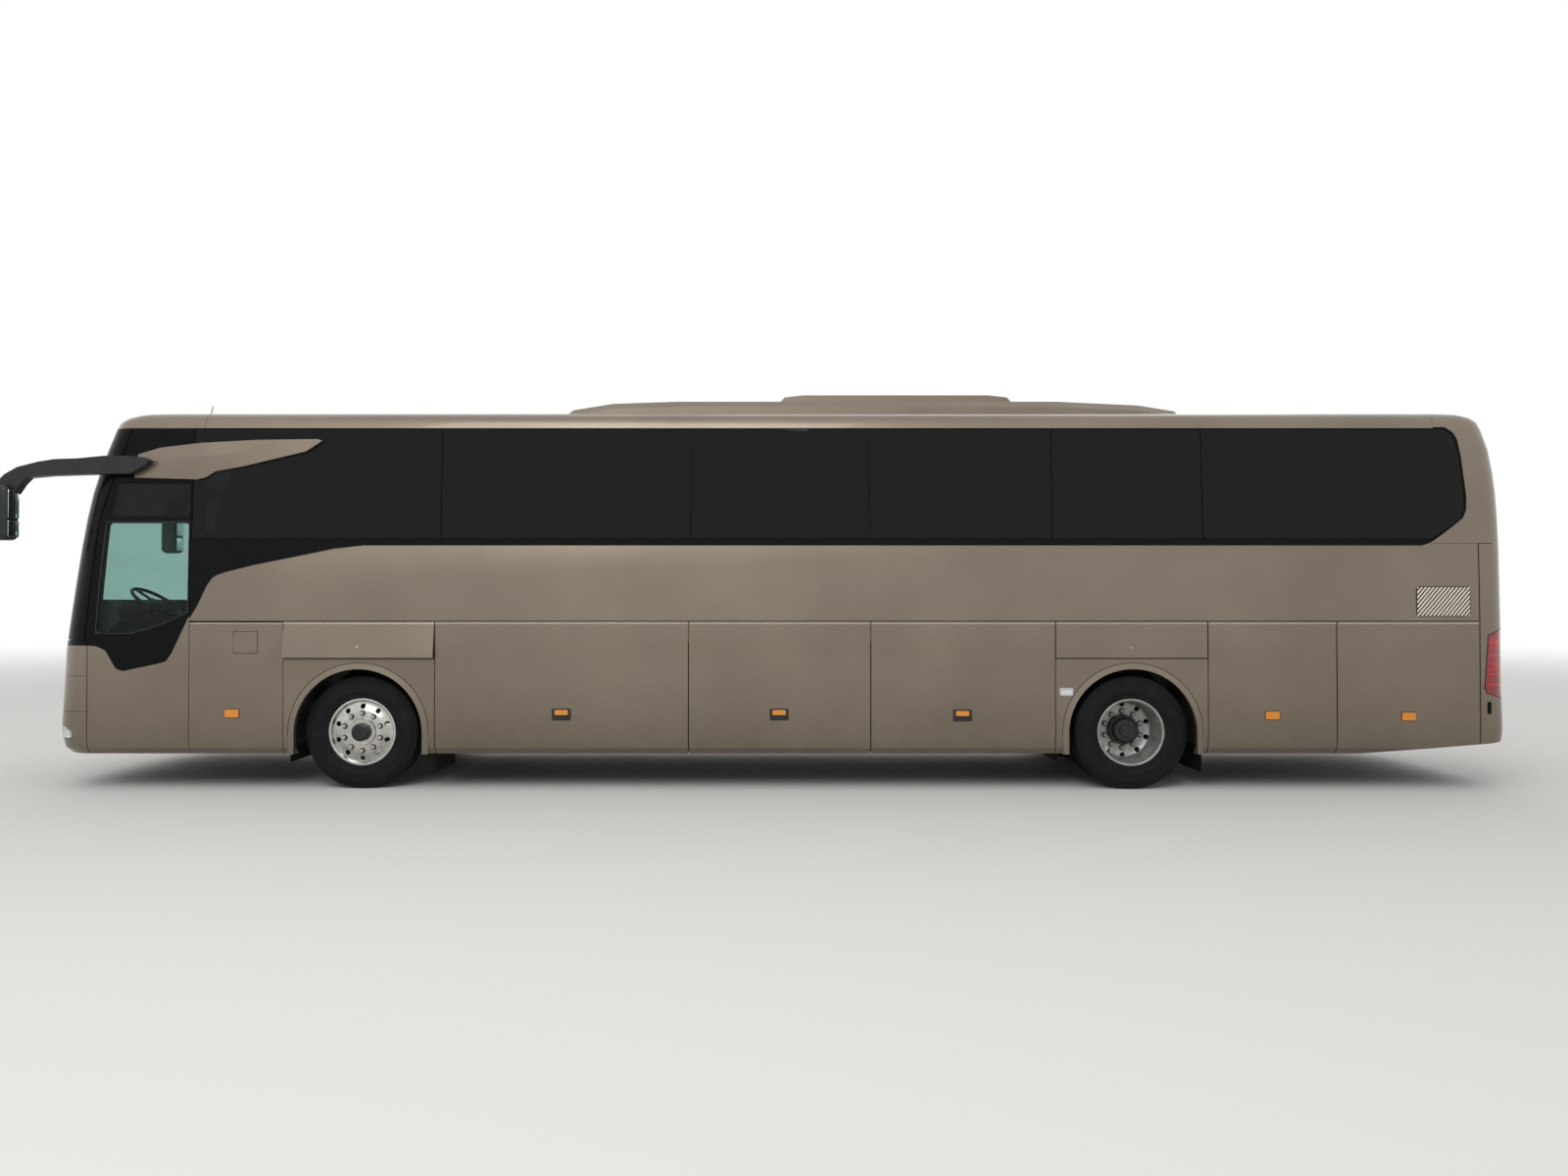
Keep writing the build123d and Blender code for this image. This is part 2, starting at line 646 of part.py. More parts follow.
# Frame behind the flaps: posts between the floor structure and the rail of the side
MID_POST_X = MID_DOOR_X[1] + PANEL_GAP + POST_WIDTH / 2
POST_STATIONS = {
    -1: (*FRONT_ARCH_SEAMS, BAY_SEAMS[1], BAY_SEAMS[2], BAY_SEAMS[3], *ENGINE_BAY_SEAMS[:2]),
    1: (*FRONT_ARCH_SEAMS, BAY_SEAMS[1], BAY_SEAMS[2], MID_POST_X, BAY_SEAMS[3], *ENGINE_BAY_SEAMS[:2]),
}
FRAME_HALF = HALF_WIDTH - FRAME_INSET
RAIL_INNER = FRAME_HALF - FRAME_DEPTH
with BuildPart() as skirt_posts:
    for side, name in SIDES:
        y_span = sorted((side * RAIL_INNER, side * FRAME_HALF))
        for station in POST_STATIONS[side]:
            in_bay = BAY_SEAMS[0] <= station <= BAY_SEAMS[3]
            foot = TRAY_Z + TRAY_T if in_bay else RAIL_Z[0]
            add(block((station - POST_WIDTH / 2, station + POST_WIDTH / 2), y_span, (foot, RAIL_FOOT_Z)))
    add(frame_body, mode=Mode.INTERSECT)
write(skirt_posts.part, "skirt_posts")

# Underframe: luggage tray and bulkheads between the arches, with a rail frame ahead and behind
FRONT_RAIL_X = (-6146.0, BAY_SEAMS[0])
REAR_RAIL_X = (BAY_SEAMS[3], 6609.0)
CROSS_WIDTH = 50.0
CROSS_DEPTH = 60.0
# Cross members: station, inner and outer reach from the centre line
CROSS_STATIONS = (
    (-6050.0, 0.0, 520.0),
    (FRONT_ARCH_SEAMS[0], 0.0, FRAME_HALF),
    (ENGINE_BAY_SEAMS[0], 0.0, FRAME_HALF),
    (ENGINE_BAY_SEAMS[1], RAIL_Y[0], FRAME_HALF),
    (6500.0, 0.0, 520.0),
)
BULKHEAD_T = 20.0
FLOOR_FOOT_Z = SALOON_FLOOR_Z - SALOON_FLOOR_T
BUMPER_BEAM_HALF = 900.0
inner_body = hull(WALL + SEAT_CLEARANCE, False)
with BuildPart() as underframe:
    add(
        block(
            (BAY_SEAMS[0] - POST_WIDTH / 2, BAY_SEAMS[3] + POST_WIDTH / 2),
            (-FRAME_HALF, FRAME_HALF),
            (TRAY_Z, TRAY_Z + TRAY_T),
        )
    )
    for station in (BAY_SEAMS[0], BAY_SEAMS[3]):
        add(
            block(
                (station - BULKHEAD_T / 2, station + BULKHEAD_T / 2),
                (-RAIL_INNER, RAIL_INNER),
                (TRAY_Z, FLOOR_FOOT_Z),
            )
        )
    for side, name in SIDES:
        y_span = sorted((side * RAIL_Y[0], side * RAIL_Y[1]))
        for x_span in (FRONT_RAIL_X, REAR_RAIL_X):
            add(block(x_span, y_span, RAIL_Z))
    for station, reach_in, reach_out in CROSS_STATIONS:
        for side, name in SIDES:
            add(
                block(
                    (station - CROSS_WIDTH / 2, station + CROSS_WIDTH / 2),
                    sorted((side * reach_in, side * reach_out)),
                    (RAIL_Z[0] - CROSS_DEPTH, RAIL_Z[0]),
                )
            )
    add(frame_body, mode=Mode.INTERSECT)
    for x_span in ((NOSE_X, FRONT_RAIL_X[0]), (REAR_RAIL_X[1], TAIL_X)):
        add(inner_body & block(x_span, (-BUMPER_BEAM_HALF, BUMPER_BEAM_HALF), RAIL_Z))
write(underframe.part, "underframe")

with BuildPart() as wheel_housings:
    for side, name in SIDES:
        for axle_x in (FRONT_AXLE_X, REAR_AXLE_X):
            outer_r = HOUSING_R + HOUSING_T
            outside = arch_prism(axle_x, outer_r, HOUSING_FOOT_Z, side, HOUSING_INNER_Y, FRAME_HALF)
            inside = arch_prism(axle_x, HOUSING_R, 0, side, HOUSING_INNER_Y - 10, FRAME_HALF + 10)
            add(outside - inside)
    add(frame_body, mode=Mode.INTERSECT)
write(wheel_housings.part, "wheel_housings")

# Steps climb inwards from each door
STEP_EDGE_Y = HALF_WIDTH - WALL - 5
MID_STEPS = 4
FRONT_STEPS = 2
FRONT_STEP_FOOT_Z = DOOR_FOOT_Z + 10
step_limit = hull(FRAME_INSET + SEAM, False)


def first_tread(foot_z, top_z, count):
    """Height of a flight's lowest tread."""
    return foot_z + (top_z - foot_z) / (count + 1)


def flight(x_span, inner_y, foot_z, top_z, count):
    """A flight of steps that climbs inwards from a door, clear of the closed leaf."""
    rise = first_tread(foot_z, top_z, count) - foot_z
    going = (STEP_EDGE_Y - inner_y) / count
    points = [(STEP_EDGE_Y, foot_z)]
    for step in range(count):
        level = foot_z + rise * (step + 1)
        points += [(STEP_EDGE_Y - going * step, level), (STEP_EDGE_Y - going * (step + 1), level)]
    points += [(inner_y, foot_z)]
    with BuildPart() as steps:
        with BuildSketch(Plane.YZ.offset(x_span[0])):
            Polygon(*points, align=None)
        extrude(amount=x_span[1] - x_span[0])
        add(step_limit, mode=Mode.INTERSECT)
    return steps.part


# Cab floor over the front rails, notched for the front flight, with a step up to the saloon
CAB_FLOOR_Z = 880.0
CAB_FLOOR_END_X = -4890.0
STAIR_INNER_Y = RAIL_Y[1]
SALOON_STEP = (FRONT_CAP_SEAM_X - 260.0, FRONT_CAP_SEAM_X)
SALOON_STEP_Y = (-230.0, 380.0)
with BuildPart() as cab_floor:
    add(inner_body & block((NOSE_X, CAB_FLOOR_END_X), ACROSS, (RAIL_Z[1], CAB_FLOOR_Z)))
    add(block(FRONT_DOOR_X, (STAIR_INNER_Y, ACROSS[1]), (0, CAB_FLOOR_Z)), mode=Mode.SUBTRACT)
    add(flight(FRONT_DOOR_X, STAIR_INNER_Y, FRONT_STEP_FOOT_Z, CAB_FLOOR_Z, FRONT_STEPS))
    add(block(SALOON_STEP, SALOON_STEP_Y, (CAB_FLOOR_Z, (CAB_FLOOR_Z + SALOON_FLOOR_Z) / 2)))
write(cab_floor.part, "cab_floor")

# Saloon floor between the side rails, with its front riser, and the flight under its cut-out
MID_STAIR_INNER_Y = 560.0
MID_STEP_FOOT_Z = TRAY_Z + TRAY_T
with BuildPart() as saloon_floor:
    add(
        block(
            (FRONT_CAP_SEAM_X, ENGINE_BAY_SEAMS[2] - SEAM),
            (-RAIL_INNER, RAIL_INNER),
            (FLOOR_FOOT_Z, SALOON_FLOOR_Z),
        )
    )
    add(
        block(
            (FRONT_CAP_SEAM_X, FRONT_CAP_SEAM_X + SALOON_FLOOR_T),
            (-RAIL_INNER, RAIL_INNER),
            (CAB_FLOOR_Z, FLOOR_FOOT_Z),
        )
    )
    stairwell_y = (MID_STAIR_INNER_Y, ACROSS[1])
    add(block(MID_DOOR_X, stairwell_y, (FLOOR_FOOT_Z, SALOON_FLOOR_Z)), mode=Mode.SUBTRACT)
    add(flight(MID_DOOR_X, MID_STAIR_INNER_Y, MID_STEP_FOOT_Z, SALOON_FLOOR_Z, MID_STEPS))
write(saloon_floor.part, "saloon_floor")

# Front axle: a beam with a jack pad, an eye at each kingpin, spring arms and air springs
BEAM_TOP_Z = TYRE_R - BEAM_DROP
BEAM_FOOT_Z = BEAM_TOP_Z - BEAM_DEPTH
SPRING_Y = 455.0
SPRING_R = 72.0
SPRING_WAIST = 0.8
ARM_HALF = 300.0
KNUCKLE_GAP = 0.3
JACK_PAD = (100.0, 160.0, 12.0)


def air_spring(x, y, foot_z, top_z, radius):
    """A rolling-lobe air spring: two bulged lobes between end plates."""
    middle = (foot_z + top_z) / 2
    waist_r = SPRING_WAIST * radius
    with BuildPart() as spring:
        with BuildSketch(Plane.XZ):
            with BuildLine():
                Polyline(
                    (0, foot_z),
                    (waist_r, foot_z),
                    (radius, (foot_z + middle) / 2),
                    (waist_r, middle),
                    (radius, (top_z + middle) / 2),
                    (waist_r, top_z),
                    (0, top_z),
                    close=True,
                )
            make_face()
        revolve(axis=Axis.Z)
    return spring.part.moved(Location((x, y, 0)))


with BuildPart() as front_axle:
    with Locations((FRONT_AXLE_X, 0, (BEAM_TOP_Z + BEAM_FOOT_Z) / 2)):
        Box(BEAM_WIDTH, 2 * (KINGPIN_Y - 30), BEAM_DEPTH)
    with Locations((FRONT_AXLE_X, 0, BEAM_FOOT_Z - JACK_PAD[2] / 2)):
        Box(*JACK_PAD)
    for side, name in SIDES:
        with Locations((FRONT_AXLE_X, side * KINGPIN_Y, (BEAM_TOP_Z + BEAM_FOOT_Z) / 2)):
            Cylinder(KINGPIN_R + 25, BEAM_DEPTH)
            Cylinder(KINGPIN_R + KNUCKLE_GAP, BEAM_DEPTH, mode=Mode.SUBTRACT)
        with Locations((FRONT_AXLE_X, side * SPRING_Y, BEAM_TOP_Z - 30)):
            Box(2 * ARM_HALF, 90, 60)
        for end in (-1, 1):
            spring_x = FRONT_AXLE_X + end * (ARM_HALF - 80)
            add(air_spring(spring_x, side * SPRING_Y, BEAM_TOP_Z, RAIL_Z[0], SPRING_R))
write(front_axle.part, "front_axle")

# Steering knuckles: a kingpin and yoke round the beam's eye, with the wheel's spindle
YOKE_R = 42.0
YOKE_EAR = 58.0
YOKE_PLATE_Y = (KINGPIN_Y + 55, KINGPIN_Y + 95)
FRONT_HUB_INNER_Y = YOKE_PLATE_Y[1] + 5
FRONT_DISC_Y = FRONT_TRACK_HALF + 115.0
DISC_T = 12.0
for side, name in SIDES:
    with BuildPart() as knuckle:
        with Locations((FRONT_AXLE_X, side * KINGPIN_Y, (BEAM_TOP_Z + BEAM_FOOT_Z) / 2)):
            Cylinder(KINGPIN_R, BEAM_DEPTH + 2 * YOKE_EAR)
        for ear_z in (BEAM_FOOT_Z - KNUCKLE_GAP - YOKE_EAR / 2, BEAM_TOP_Z + KNUCKLE_GAP + YOKE_EAR / 2):
            with Locations((FRONT_AXLE_X, side * KINGPIN_Y, ear_z)):
                Cylinder(YOKE_R, YOKE_EAR)
            with Locations((FRONT_AXLE_X, side * (KINGPIN_Y + YOKE_PLATE_Y[0]) / 2, ear_z)):
                Box(2 * YOKE_R, YOKE_PLATE_Y[0] - KINGPIN_Y, YOKE_EAR)
        plate_z = (BEAM_FOOT_Z - YOKE_EAR, TYRE_R + 60)
        with Locations((FRONT_AXLE_X, side * sum(YOKE_PLATE_Y) / 2, sum(plate_z) / 2)):
            Box(2 * YOKE_R, YOKE_PLATE_Y[1] - YOKE_PLATE_Y[0], plate_z[1] - plate_z[0])
        spindle_end = FRONT_DISC_Y - 10
        spindle_y = side * (YOKE_PLATE_Y[0] + spindle_end) / 2
        with Locations(Location((FRONT_AXLE_X, spindle_y, TYRE_R), (90, 0, 0))):
            Cylinder(SPINDLE_R, spindle_end - YOKE_PLATE_Y[0])
    write(knuckle.part, f"knuckle_{name}")


def ring(points, axle_x, centre_y, side):
    """A ring turned about an axle from its section: radius, distance outboard of centre_y."""
    profile_plane = Plane(origin=(axle_x, side * centre_y, TYRE_R), x_dir=(1, 0, 0), z_dir=(0, 0, 1))
    with BuildPart() as turned:
        with BuildSketch(profile_plane):
            Polygon(*[(radius, side * across) for radius, across in points], align=None)
        revolve(axis=Axis((axle_x, 0, TYRE_R), (0, 1, 0)))
    return turned.part


BEAD_R = 286.0
BEAD_HALF = 110.0
TYRE_HALF = TYRE_WIDTH / 2
SHOULDER = 42.0
TYRE_HALF_SECTION = (
    (BEAD_R, BEAD_HALF),
    (RIM_R + 2, BEAD_HALF),
    (BEAD_R + 64, TYRE_HALF - 5),
    (TYRE_R - 50, TYRE_HALF),
    (TYRE_R, TYRE_HALF - SHOULDER),
)
TYRE_SECTION = (
    *[(radius, -across) for radius, across in TYRE_HALF_SECTION],
    *reversed(TYRE_HALF_SECTION),
)
FLANGE_T = 10.0
RIM_HALF = BEAD_HALF + 2 + FLANGE_T
RIM_HALF_SECTION = (
    (BEAD_R - SEAT_CLEARANCE, RIM_HALF - FLANGE_T),
    (RIM_R, RIM_HALF - FLANGE_T),
    (RIM_R, RIM_HALF),
    (RIM_BARREL_R, RIM_HALF),
)
RIM_SECTION = (
    *[(radius, -across) for radius, across in RIM_HALF_SECTION],
    *reversed(RIM_HALF_SECTION),
)


def drum(axle_x, side, inner_y, outer_y, radius):
    """A plain turned drum on an axle line."""
    with BuildPart() as turned:
        with Locations(Location((axle_x, side * (inner_y + outer_y) / 2, TYRE_R), (90, 0, 0))):
            Cylinder(radius, outer_y - inner_y)
    return turned.part


def disc_posts(axle_x, side, inner_y, outer_y, radius, circle_r, count):
    """A circle of round posts on a wheel's disc: its nuts, or the cutters of its hand holes."""
    plane = Plane(origin=(axle_x, side * inner_y, TYRE_R), x_dir=(1, 0, 0), z_dir=(0, side, 0))
    with BuildPart() as posts:
        with BuildSketch(plane):
            with PolarLocations(circle_r, count):
                Circle(radius)
        extrude(amount=outer_y - inner_y)
    return posts.part


REAR_MID_HALF = REAR_OUTER_HALF - TWIN_SPACING / 2
REAR_INNER_HALF = REAR_OUTER_HALF - TWIN_SPACING
FRONT_CAP_R = 80.0
FRONT_RING_R = 118.0
FRONT_CAP_Y = FRONT_DISC_Y + 70
HAND_HOLE_R = 26.0
HAND_HOLE_CIRCLE_R = 226.0
NUT_R = 15.0
NUT_HEIGHT = 24.0
for side, name in SIDES:
    write(ring(TYRE_SECTION, FRONT_AXLE_X, FRONT_TRACK_HALF, side), f"front_tyre_{name}")
    with BuildPart() as front_rim:
        add(ring(RIM_SECTION, FRONT_AXLE_X, FRONT_TRACK_HALF, side))
        add(drum(FRONT_AXLE_X, side, FRONT_DISC_Y - DISC_T, FRONT_DISC_Y, RIM_BARREL_R + 4))
        add(drum(FRONT_AXLE_X, side, FRONT_HUB_INNER_Y, FRONT_DISC_Y, NUT_CIRCLE_R + 30))
        add(drum(FRONT_AXLE_X, side, FRONT_DISC_Y - 5, FRONT_DISC_Y + 18, FRONT_RING_R))
        add(drum(FRONT_AXLE_X, side, FRONT_DISC_Y - 5, FRONT_CAP_Y, FRONT_CAP_R))
        nut_y = (FRONT_DISC_Y - 2, FRONT_DISC_Y + NUT_HEIGHT)
        add(disc_posts(FRONT_AXLE_X, side, *nut_y, NUT_R, NUT_CIRCLE_R, NUT_COUNT))
        hole_y = (FRONT_DISC_Y - DISC_T - 5, FRONT_DISC_Y + 5)
        holes = disc_posts(
            FRONT_AXLE_X, side, *hole_y, HAND_HOLE_R, HAND_HOLE_CIRCLE_R, HAND_HOLE_COUNT
        )
        add(holes, mode=Mode.SUBTRACT)
        bore_y = (FRONT_HUB_INNER_Y - 5, FRONT_DISC_Y - 8)
        bore = drum(FRONT_AXLE_X, side, *bore_y, SPINDLE_R + RUNNING_CLEARANCE)
        add(bore, mode=Mode.SUBTRACT)
    write(front_rim.part, f"front_rim_{name}")

REAR_HUB_R = 144.0
REAR_HUB_INNER_Y = 780.0
REAR_HUB_OUTER_Y = REAR_MID_HALF + 145
REAR_SPINDLE_END = REAR_HUB_OUTER_Y - 60
for side, name in SIDES:
    with BuildPart() as rear_tyres:
        add(ring(TYRE_SECTION, REAR_AXLE_X, REAR_OUTER_HALF, side))
        add(ring(TYRE_SECTION, REAR_AXLE_X, REAR_INNER_HALF, side))
    write(rear_tyres.part, f"rear_tyres_{name}")
    with BuildPart() as rear_rims:
        add(ring(RIM_SECTION, REAR_AXLE_X, REAR_OUTER_HALF, side))
        add(ring(RIM_SECTION, REAR_AXLE_X, REAR_INNER_HALF, side))
        add(drum(REAR_AXLE_X, side, REAR_MID_HALF - DISC_T, REAR_MID_HALF + DISC_T, NUT_CIRCLE_R + 30))
        for tyre_y, disc in ((REAR_OUTER_HALF, 1), (REAR_INNER_HALF, -1)):
            span = sorted((REAR_MID_HALF, REAR_MID_HALF + disc * DISC_T))
            add(drum(REAR_AXLE_X, side, span[0], span[1], RIM_BARREL_R + 4))
            lip = sorted((REAR_MID_HALF, tyre_y - disc * (RIM_HALF - FLANGE_T)))
            tube = drum(REAR_AXLE_X, side, lip[0], lip[1], RIM_BARREL_R + 8)
            add(tube - drum(REAR_AXLE_X, side, lip[0] - 1, lip[1] + 1, RIM_BARREL_R))
        add(drum(REAR_AXLE_X, side, REAR_HUB_INNER_Y, REAR_HUB_OUTER_Y, REAR_HUB_R))
        nut_y = (REAR_MID_HALF, REAR_MID_HALF + DISC_T + NUT_HEIGHT)
        add(disc_posts(REAR_AXLE_X, side, *nut_y, NUT_R, NUT_CIRCLE_R, NUT_COUNT))
        hole_y = (REAR_MID_HALF - DISC_T - 5, REAR_MID_HALF + DISC_T + 5)
        holes = disc_posts(
            REAR_AXLE_X, side, *hole_y, HAND_HOLE_R, HAND_HOLE_CIRCLE_R + 6, HAND_HOLE_COUNT
        )
        add(holes, mode=Mode.SUBTRACT)
        bore_y = (REAR_HUB_INNER_Y - 5, REAR_SPINDLE_END + 5)
        bore = drum(REAR_AXLE_X, side, *bore_y, REAR_SPINDLE_R + RUNNING_CLEARANCE)
        add(bore, mode=Mode.SUBTRACT)
    write(rear_rims.part, f"rear_rims_{name}")

# Rear axle: banjo housing, tubes and spindles, with arms and air springs under the rails
AXLE_TUBE_R = 75.0
DIFF_R = 190.0
REAR_ARM_HALF = 480.0
REAR_SPRING_R = 110.0
REAR_ARM_Z = (TYRE_R - AXLE_TUBE_R - 50, TYRE_R - AXLE_TUBE_R + 10)
with BuildPart() as rear_axle:
    with Locations(Location((REAR_AXLE_X, 0, TYRE_R), (90, 0, 0))):
        Cylinder(AXLE_TUBE_R, 2 * (REAR_HUB_INNER_Y - 10))
        Cylinder(REAR_SPINDLE_R, 2 * REAR_SPINDLE_END)
        Cylinder(DIFF_R, 180)
    for side, name in SIDES:
        with Locations((REAR_AXLE_X, side * SPRING_Y, sum(REAR_ARM_Z) / 2)):
            Box(2 * REAR_ARM_HALF, 90, REAR_ARM_Z[1] - REAR_ARM_Z[0])
        for end in (-1, 1):
            spring_x = REAR_AXLE_X + end * (REAR_ARM_HALF - 110)
            add(air_spring(spring_x, side * SPRING_Y, REAR_ARM_Z[1], RAIL_Z[0], REAR_SPRING_R))
write(rear_axle.part, "rear_axle")

# Engine and gearbox, one plain block on mounts between the rear rails
ENGINE_X = (4950.0, 6440.0)
ENGINE_Z = (430.0, 1230.0)
GEARBOX_X = 4250.0
GEARBOX_HALF = 250.0
GEARBOX_Z = (430.0, 900.0)
with BuildPart() as engine:
    add(block(ENGINE_X, (-RAIL_Y[0] + 40, RAIL_Y[0] - 40), ENGINE_Z))
    add(block((GEARBOX_X, ENGINE_X[0] + 5), (-GEARBOX_HALF, GEARBOX_HALF), GEARBOX_Z))
    for mount_x in (ENGINE_X[0] + 150, ENGINE_X[1] - 250):
        add(block((mount_x, mount_x + 100), (-RAIL_Y[0], RAIL_Y[0]), (RAIL_Z[0] + 20, RAIL_Z[1] - 20)))
write(engine.part, "engine")

# Dashboard across the cab, and the driver's steering wheel on its column
DASH_X = -5990.0
DASH_Y = (-1200.0, 300.0)
with BuildPart() as dashboard:
    with BuildSketch(Plane.XZ.offset(-DASH_Y[1])):
        Polygon(
            (DASH_X - 140, CAB_FLOOR_Z),
            (DASH_X - 140, 1560),
            (DASH_X + 20, 1690),
            (DASH_X + 180, 1690),
            (DASH_X + 290, 1600),
            (DASH_X + 300, 1500),
            (DASH_X + 60, 1300),
            (DASH_X + 60, CAB_FLOOR_Z),
            align=None,
        )
    extrude(amount=DASH_Y[1] - DASH_Y[0])
    add(inner_body, mode=Mode.INTERSECT)
write(dashboard.part, "dashboard")

STEERING_Y = -700.0
STEERING_CENTRE = (DASH_X + 330, STEERING_Y, 1655)
STEERING_R = 225.0
STEERING_TILT_DEG = 34.0
STEERING_RIM = 28.0
COLUMN_R = 32.0
COLUMN_LENGTH = 200.0
wheel_axis = (sin(radians(STEERING_TILT_DEG)), 0, cos(radians(STEERING_TILT_DEG)))
wheel_plane = Plane(origin=STEERING_CENTRE, x_dir=(0, 1, 0), z_dir=wheel_axis)
with BuildPart() as steering_wheel:
    with BuildSketch(wheel_plane):
        Circle(STEERING_R + STEERING_RIM / 2)
        Circle(STEERING_R - STEERING_RIM / 2, mode=Mode.SUBTRACT)
        Rectangle(2 * STEERING_R, 40)
        Circle(60)
    extrude(amount=24)
    with BuildSketch(wheel_plane):
        Circle(COLUMN_R)
    extrude(amount=-COLUMN_LENGTH)
    add(dashboard.part, mode=Mode.SUBTRACT)
write(steering_wheel.part, "steering_wheel")

# Seats: a pair each side of the aisle in every row, on pedestals, and the driver's seat in the cab
MID_STAIR_ROWS = (MID_DOOR_X[0] - CUSHION_LENGTH - BACK_T - 260, MID_DOOR_X[1] + 20)


def seat_places():
    """Front edge and side of each pair of seats, leaving out those over the middle stairwell."""
    for row in range(SEAT_ROWS):
        for side, name in SIDES:
            x = FIRST_SEAT_X + row * SEAT_PITCH
            if side < 0 or not MID_STAIR_ROWS[0] < x < MID_STAIR_ROWS[1]:
                yield x, side


def seat_part(points, y_span):
    """A seat piece from its side outline."""
    with BuildPart() as piece:
        with BuildSketch(Plane.XZ.offset(-y_span[1])):
            Polygon(*points, align=None)
        extrude(amount=y_span[1] - y_span[0])
    return piece.part


def back_outline(x, foot_z):
    """Outline of a reclined back that stands on the rear of its cushion."""
    lean = BACK_HEIGHT * sin(radians(BACK_LEAN_DEG))
    rise = BACK_HEIGHT * cos(radians(BACK_LEAN_DEG))
    head_z = foot_z + rise
    return ((x, foot_z), (x + BACK_T, foot_z), (x + BACK_T + lean, head_z), (x + lean + 20, head_z))


DRIVER_SEAT_X = -5470.0
DRIVER_SEAT_Y = (-950.0, -450.0)
DRIVER_CUSHION_Z = (1270.0, 1390.0)
with BuildPart() as seat_cushions:
    for x, side in seat_places():
        y_span = sorted((side * SEAT_Y[0], side * SEAT_Y[1]))
        add(block((x, x + CUSHION_LENGTH + BACK_T), y_span, CUSHION_Z))
        pedestal_x = (x + 120, x + 420)
        add(block(pedestal_x, shrink(y_span, 200), (SALOON_FLOOR_Z, CUSHION_Z[0])))
    add(block((DRIVER_SEAT_X, DRIVER_SEAT_X + 500), DRIVER_SEAT_Y, DRIVER_CUSHION_Z))
    pedestal_x = (DRIVER_SEAT_X + 100, DRIVER_SEAT_X + 400)
    add(block(pedestal_x, shrink(DRIVER_SEAT_Y, 100), (CAB_FLOOR_Z, DRIVER_CUSHION_Z[0])))
write(seat_cushions.part, "seat_cushions")

with BuildPart() as seat_backs:
    for x, side in seat_places():
        y_span = sorted((side * SEAT_Y[0], side * SEAT_Y[1]))
        add(seat_part(back_outline(x + CUSHION_LENGTH, CUSHION_Z[1]), y_span))
    add(seat_part(back_outline(DRIVER_SEAT_X + 390, DRIVER_CUSHION_Z[1]), DRIVER_SEAT_Y))
write(seat_backs.part, "seat_backs")

# Roof unit: a low fairing on the roof's crown with a raised box in its middle
POD_X = (-1807.0, 3954.0)
POD_FOOT_Z = 3390.0
POD_SHOULDER_Z = 3540.0
POD_CHAMFER = 60.0
POD_HALF = 850.0
HUMP_X = (136.0, 2525.0)
HUMP_HALF = 430.0
HUMP_Z = 3668.0
with BuildPart() as roof_unit:
    with BuildSketch(Plane.XZ.offset(-POD_HALF)):
        Polygon(
            (POD_X[0], POD_FOOT_Z),
            (POD_X[0] + 90, POD_SHOULDER_Z - 80),
            (POD_X[0] + 460, POD_SHOULDER_Z - 20),
            (POD_X[0] + 1060, POD_SHOULDER_Z),
            (POD_X[1] - 1160, POD_SHOULDER_Z),
            (POD_X[1] - 400, POD_SHOULDER_Z - 35),
            (POD_X[1] - 60, POD_SHOULDER_Z - 90),
            (POD_X[1], POD_FOOT_Z),
            (POD_X[1], EAVES_Z + 75),
            (POD_X[0], EAVES_Z + 75),
            align=None,
        )
    extrude(amount=2 * POD_HALF)
    for end in (0, -1):
        side_edges = roof_unit.faces().sort_by(Axis.Y)[end].edges()
        chamfer(side_edges.filter_by_position(Axis.Z, POD_FOOT_Z + 10, POD_SHOULDER_Z + 10), POD_CHAMFER)
    with BuildSketch(Plane.XZ.offset(-HUMP_HALF)):
        Polygon(
            (HUMP_X[0], POD_SHOULDER_Z - 20),
            (HUMP_X[0] + 120, HUMP_Z - 20),
            (HUMP_X[0] + 300, HUMP_Z),
            (HUMP_X[1] - 300, HUMP_Z),
            (HUMP_X[1] - 120, HUMP_Z - 20),
            (HUMP_X[1], POD_SHOULDER_Z - 20),
            align=None,
        )
    extrude(amount=2 * HUMP_HALF)
    add(outer_roofed, mode=Mode.SUBTRACT)
write(roof_unit.part, "roof_unit")

# Mirror fairings: a swept blade of bodywork over each cab side, that carries the mirror's arm
FAIRING_PROUD = 30.0
FAIRING = (
    (-5511, 2985),
    (-5312, 3046),
    (-4961, 3089),
    (-4465, 3116),
    (-3913, 3124),
    (-3869, 3107),
    (-4013, 3011),
    (-4587, 2872),
    (-4813, 2832),
    (-4900, 2776),
    (-4978, 2759),
    (-5536, 2776),
)
fairing_skin = hull(-FAIRING_PROUD, False) - hull(-SEAT_CLEARANCE, False)
ARM_OUTLINE = (
    (-5366, 2921),
    (-5412, 2948),
    (-5520, 2960),
    (-5760, 2962),
    (-6000, 2939),
    (-6197, 2933),
    (-6344, 2910),
    (-6530, 2862),
    (-6640, 2800),
    (-6715, 2727),
    (-6560, 2627),
    (-6500, 2715),
    (-6444, 2771),
    (-6237, 2789),
    (-5834, 2802),
    (-5530, 2804),
    (-5395, 2880),
)
ARM_Y = (HALF_WIDTH - 35, HALF_WIDTH + 60)
HEAD = ((-6745.0, -6560.0), (HALF_WIDTH - 40, HALF_WIDTH + 143), (2215.0, 2700.0))
HEAD_R = 50.0
with BuildPart() as mirror_fairings:
    for side, name in SIDES:
        add(fairing_skin & side_prism(FAIRING, side))
write(mirror_fairings.part, "mirror_fairings")


def mirror_head(side):
    """The housing that hangs from a mirror's arm."""
    with BuildPart() as head:
        add(block(HEAD[0], sorted((side * HEAD[1][0], side * HEAD[1][1])), HEAD[2]))
        fillet(head.edges(), radius=HEAD_R)
    return head.part


